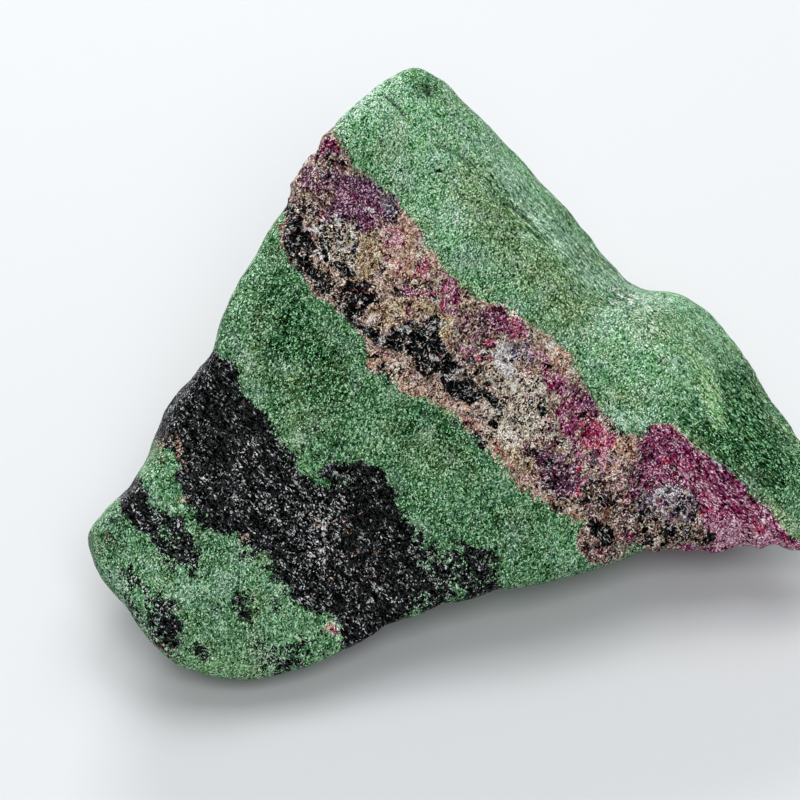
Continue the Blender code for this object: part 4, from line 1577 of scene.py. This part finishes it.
    def ramp(self, node: Node, tone: Socket, finish: GrainFinish) -> Socket:
        """A mineral's colours over the tone of its grains: dark, body, light and painted glint."""
        socket = node("ValToRGB", {"Fac": tone})
        ramp = socket.node.color_ramp
        ramp.elements[0].position = finish.stops[0]
        ramp.elements[1].position = finish.stops[3]
        ramp.elements[0].color = linear(finish.dark)
        ramp.elements[1].color = linear(finish.painted_glint)
        ramp.elements.new(finish.stops[1]).color = linear(finish.body)
        ramp.elements.new(finish.stops[2]).color = linear(finish.light)
        return socket

    def minerals(self, node: Node, tone: Socket, grains: Grains) -> tuple[Socket, Socket]:
        """Zoisite from deep to light, with the other minerals laid over it in turn. One that
        tints is mixed in. Each other takes the grains whose rank, a mean of the facet's chance
        and the clot's, is below its share.

        Args:
            node: adds a node.
            tone: how light each facet is.
            grains: the patterns of grains.

        Returns:
            The colour and the roughness.
        """
        shade = node("Attribute", output="Fac", attribute_name=SHADE)
        deep, light = (self.ramp(node, tone, zoisite) for zoisite in (ZOISITE_DEEP, ZOISITE_LIGHT))
        colour = node("Mix", {0: shade, 6: deep, 7: light}, 2, data_type="RGBA")
        # The hornblende is denser black in some places than in others.
        least, most = self.blackness
        black = node("MapRange", {"Value": shade, "To Min": least, "To Max": most})
        black = node("Math", {0: tone, 1: black}, operation="ADD")
        dull = ZOISITE_DEEP.roughness
        for order, mineral in enumerate(Mineral):
            share = node("Attribute", output="Fac", attribute_name=mineral.value)
            if mineral not in TINTS:
                own, shared = (
                    node("TexWhiteNoise", {"Vector": code, "W": float(order)}, noise_dimensions="4D")
                    for code in (grains.code, grains.clot)
                )
                rank = node("Mix", {0: self.clotted, 2: own, 3: shared})
                share = node("Math", {0: rank, 1: share}, operation="LESS_THAN")
                dull = node("Mix", {0: share, 2: dull, 3: FINISHES[mineral].roughness})
            toned = black if mineral is Mineral.HORNBLENDE else tone
            grown = self.ramp(node, toned, FINISHES[mineral])
            colour = node("Mix", {0: share, 6: colour, 7: grown}, 2, data_type="RGBA")
        return colour, dull

    def with_nick_shadow(self, node: Node, place: Socket, colour: Socket, nick: Swell) -> Socket:
        """The colour with a nick's painted shade: dark inside the oval |(s / a, t / b)| < 1 of the
        front.

        Args:
            node: adds a node.
            place: coordinates in mm.
            colour: the colour of the rock.
            nick: the gash whose shade is painted.

        Returns:
            The new colour.
        """
        turned = node("Mapping", {
            "Vector": place,
            "Location": (nick.across, nick.up, 0.5),
            "Rotation": (0.0, 0.0, math.radians(nick.turn)),
            "Scale": (nick.along, nick.over, 8.0),
        }, vector_type="TEXTURE")
        away = node("VectorMath", {0: turned}, "Value", operation="LENGTH")
        start, end = self.nick_shadow_edge
        inside = node("MapRange", {"Value": away, "From Min": start, "From Max": end,
                                   "To Min": 1.0 - nick.height, "To Max": 1.0})
        return node("VectorMath", {0: colour, "Scale": inside}, operation="SCALE")

    def varied(self, node: Node, colour: Socket, grains: Grains) -> Socket:
        """The colour, with painted shade where facets meet and a painted highlight in their middles,
        and with a hue and strength that vary a little by clot and facet.

        Args:
            node: adds a node.
            colour: the colour of the rock.
            grains: the patterns of grains.

        Returns:
            The new colour.
        """
        # painted shade at each facet's border and a painted highlight in its middle
        start, end = self.gap
        middle, border = self.painted_facet_light
        gap = node("MapRange", {"Value": grains.rim, "From Min": start, "From Max": end,
                                "To Min": middle, "To Max": border})
        colour = node("VectorMath", {0: colour, "Scale": gap}, operation="SCALE")
        own, shared = (node("SeparateColor", {0: code}).node for code in (grains.code, grains.clot))
        hue = node("Mix", {0: self.hue_by_clot, 2: own.outputs["Green"],
                           3: shared.outputs["Green"]})
        hue, strength = (
            node("MapRange", {"Value": chance, "To Min": least, "To Max": most})
            for chance, (least, most) in ((hue, self.hue), (own.outputs["Blue"], self.saturation))
        )
        return node("HueSaturation", {"Color": colour, "Hue": hue, "Saturation": strength})

    def relief(self, node: Node, place: Socket, grains: Grains) -> Socket:
        """The normal: each facet's is turned its own way, and the rock is rough between them.

        Args:
            node: adds a node.
            place: coordinates in mm.
            grains: the patterns of grains.

        Returns:
            The normal that the shader takes.
        """
        turned = node("VectorMath", {0: grains.code, 1: (0.5,) * 3}, operation="SUBTRACT")
        turned = node("VectorMath", {0: turned, "Scale": self.tilt}, operation="SCALE")
        normal = node("NewGeometry", output="Normal")
        turned = node("VectorMath", {0: turned, 1: normal}, operation="ADD")
        turned = node("VectorMath", {0: turned}, operation="NORMALIZE")
        rough = node("TexNoise", {"Vector": place, "Scale": self.rough, "Detail": 4.0,
                                  "Roughness": 0.6})
        least, more = self.ruggedness
        rugged = node("Math", {0: grains.stranded, 1: more, 2: least}, operation="MULTIPLY_ADD")
        height = node("Math", {0: rough, 1: rugged}, operation="MULTIPLY")
        height = node("Math", {0: grains.rim, 1: -self.rounded, 2: height},
                      operation="MULTIPLY_ADD")
        return node("Bump", {"Height": height, "Normal": turned, "Strength": 1.0, "Distance": MM})

    def build(self) -> bpy.types.Material:
        """The rock's material, which reads the mesh's attributes and Object coordinates."""
        material = bpy.data.materials.new("zoisite_rock")
        material.use_nodes = True
        tree = material.node_tree
        node = partial(add_node, tree)
        place = self.face_mm(node)
        wavy = self.wavy(node, place)
        grains = self.grains(node, wavy)
        tone = self.tone(node, place, grains)
        colour, dull = self.minerals(node, tone, grains)
        # painted shade in the small gashes and cracks
        for nick in NICK_SHADOWS:
            colour = self.with_nick_shadow(node, wavy, colour, nick)
        shader = tree.nodes["Principled BSDF"].inputs
        shader["IOR"].default_value = self.refraction
        for name, socket in {
            "Base Color": self.varied(node, colour, grains),
            "Roughness": dull,
            "Specular IOR Level": node("MapRange", {"Value": tone, "From Min": self.gloss_from,
                                                    "To Max": self.gloss}),
            "Normal": self.relief(node, place, grains),
        }.items():
            tree.links.new(socket, shader[name])
        return material


# ---------------------------------------------------------------------------------------------
# The studio
# ---------------------------------------------------------------------------------------------


@dataclass(frozen=True)
class Softbox:
    """A large soft light that looks at the stone.

    Attributes:
        name: what it is.
        bearing: where it stands, in degrees from +X towards +Y.
        lift: how high it stands, in degrees.
        distance: how far away, in metres.
        size: its width and height in metres.
        power: its power in watts.
        colour: its colour as an sRGB hex code.
    """

    name: str
    bearing: float
    lift: float
    distance: float
    size: Point
    power: float
    colour: str

    def build(self, target: Array) -> None:
        """Place the light, looking at the target.

        Args:
            target: where it looks, in metres.
        """
        data = bpy.data.lights.new(self.name, "AREA")
        data.shape = "RECTANGLE"
        data.size, data.size_y = self.size
        data.energy = self.power
        data.color = linear(self.colour)[:3]
        light = bpy.data.objects.new(self.name, data)
        away = unit(self.bearing, self.lift)
        light.location = target + away * self.distance
        light.rotation_euler = Vector(away).to_track_quat("Z", "Y").to_euler()
        bpy.context.scene.collection.objects.link(light)


@dataclass(frozen=True)
class Studio:
    """A plain pale table, soft light from above and behind, and the camera.

    Attributes:
        table_side: the side of the table, in metres.
        table_colour: its colour as an sRGB hex code.
        table_roughness: how dull it is.
        air_colour: the colour of the light from all round.
        air_strength: how strong that is.
        softboxes: the lights.
        camera_distance: from the camera to the face's origin, in metres.
        field: the width of the view there, in metres.
        sensor: the width of the camera's sensor, in mm.
    """

    table_side: float = 4.0
    table_colour: str = "#c1c3c5"
    table_roughness: float = 0.3
    air_colour: str = "#f6f9fb"
    air_strength: float = 0.35
    softboxes: tuple[Softbox, ...] = (
        Softbox("front softbox", -78.0, 58.0, 1.5, (0.8, 0.8), 11.0, "#ffffff"),
        Softbox("overhead softbox", 86.0, 62.0, 1.0, (0.9, 0.8), 6.5, "#ffffff"),
        Softbox("low window", 99.0, 22.0, 1.2, (0.5, 0.2), 12.0, "#fdfeff"),
    )
    camera_distance: float = 1.0
    field: float = 0.096
    sensor: float = 36.0

    def build(self) -> None:
        """Make the table, the light and the camera."""
        target = np.array(FACE.origin) * MM
        bpy.ops.mesh.primitive_plane_add(size=self.table_side)
        table = bpy.context.object
        table.name = "table"
        material = bpy.data.materials.new("white_acrylic_table")
        material.use_nodes = True
        shader = material.node_tree.nodes["Principled BSDF"]
        shader.inputs["Base Color"].default_value = linear(self.table_colour)
        shader.inputs["Roughness"].default_value = self.table_roughness
        table.data.materials.append(material)

        world = bpy.data.worlds.new("studio air")
        world.use_nodes = True
        air = world.node_tree.nodes["Background"]
        air.inputs["Color"].default_value = linear(self.air_colour)
        air.inputs["Strength"].default_value = self.air_strength
        bpy.context.scene.world = world
        for softbox in self.softboxes:
            softbox.build(target)

        data = bpy.data.cameras.new("camera")
        data.sensor_width = self.sensor
        data.lens = self.sensor * self.camera_distance / self.field
        camera = bpy.data.objects.new("camera", data)
        out = FACE.axes[2]
        camera.location = target + out * self.camera_distance
        camera.rotation_euler = Vector(out).to_track_quat("Z", "Y").to_euler()
        bpy.context.scene.collection.objects.link(camera)
        bpy.context.scene.camera = camera
        bpy.context.scene.view_settings.view_transform = "Standard"


def main() -> None:
    """Build the stone and the studio, and report each piece."""
    logging.basicConfig(level=logging.INFO, format="%(message)s")
    log = logging.getLogger("scene")
    stone = Stone().build()
    stone.data.materials.append(RockFinish().build())
    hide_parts(NODE)
    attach(stone, "root")
    log.info("%s: %d faces", stone.name, len(stone.data.polygons))
    Studio().build()
    log.info("table, light and camera are in place")


if __name__ == "__main__":
    main()
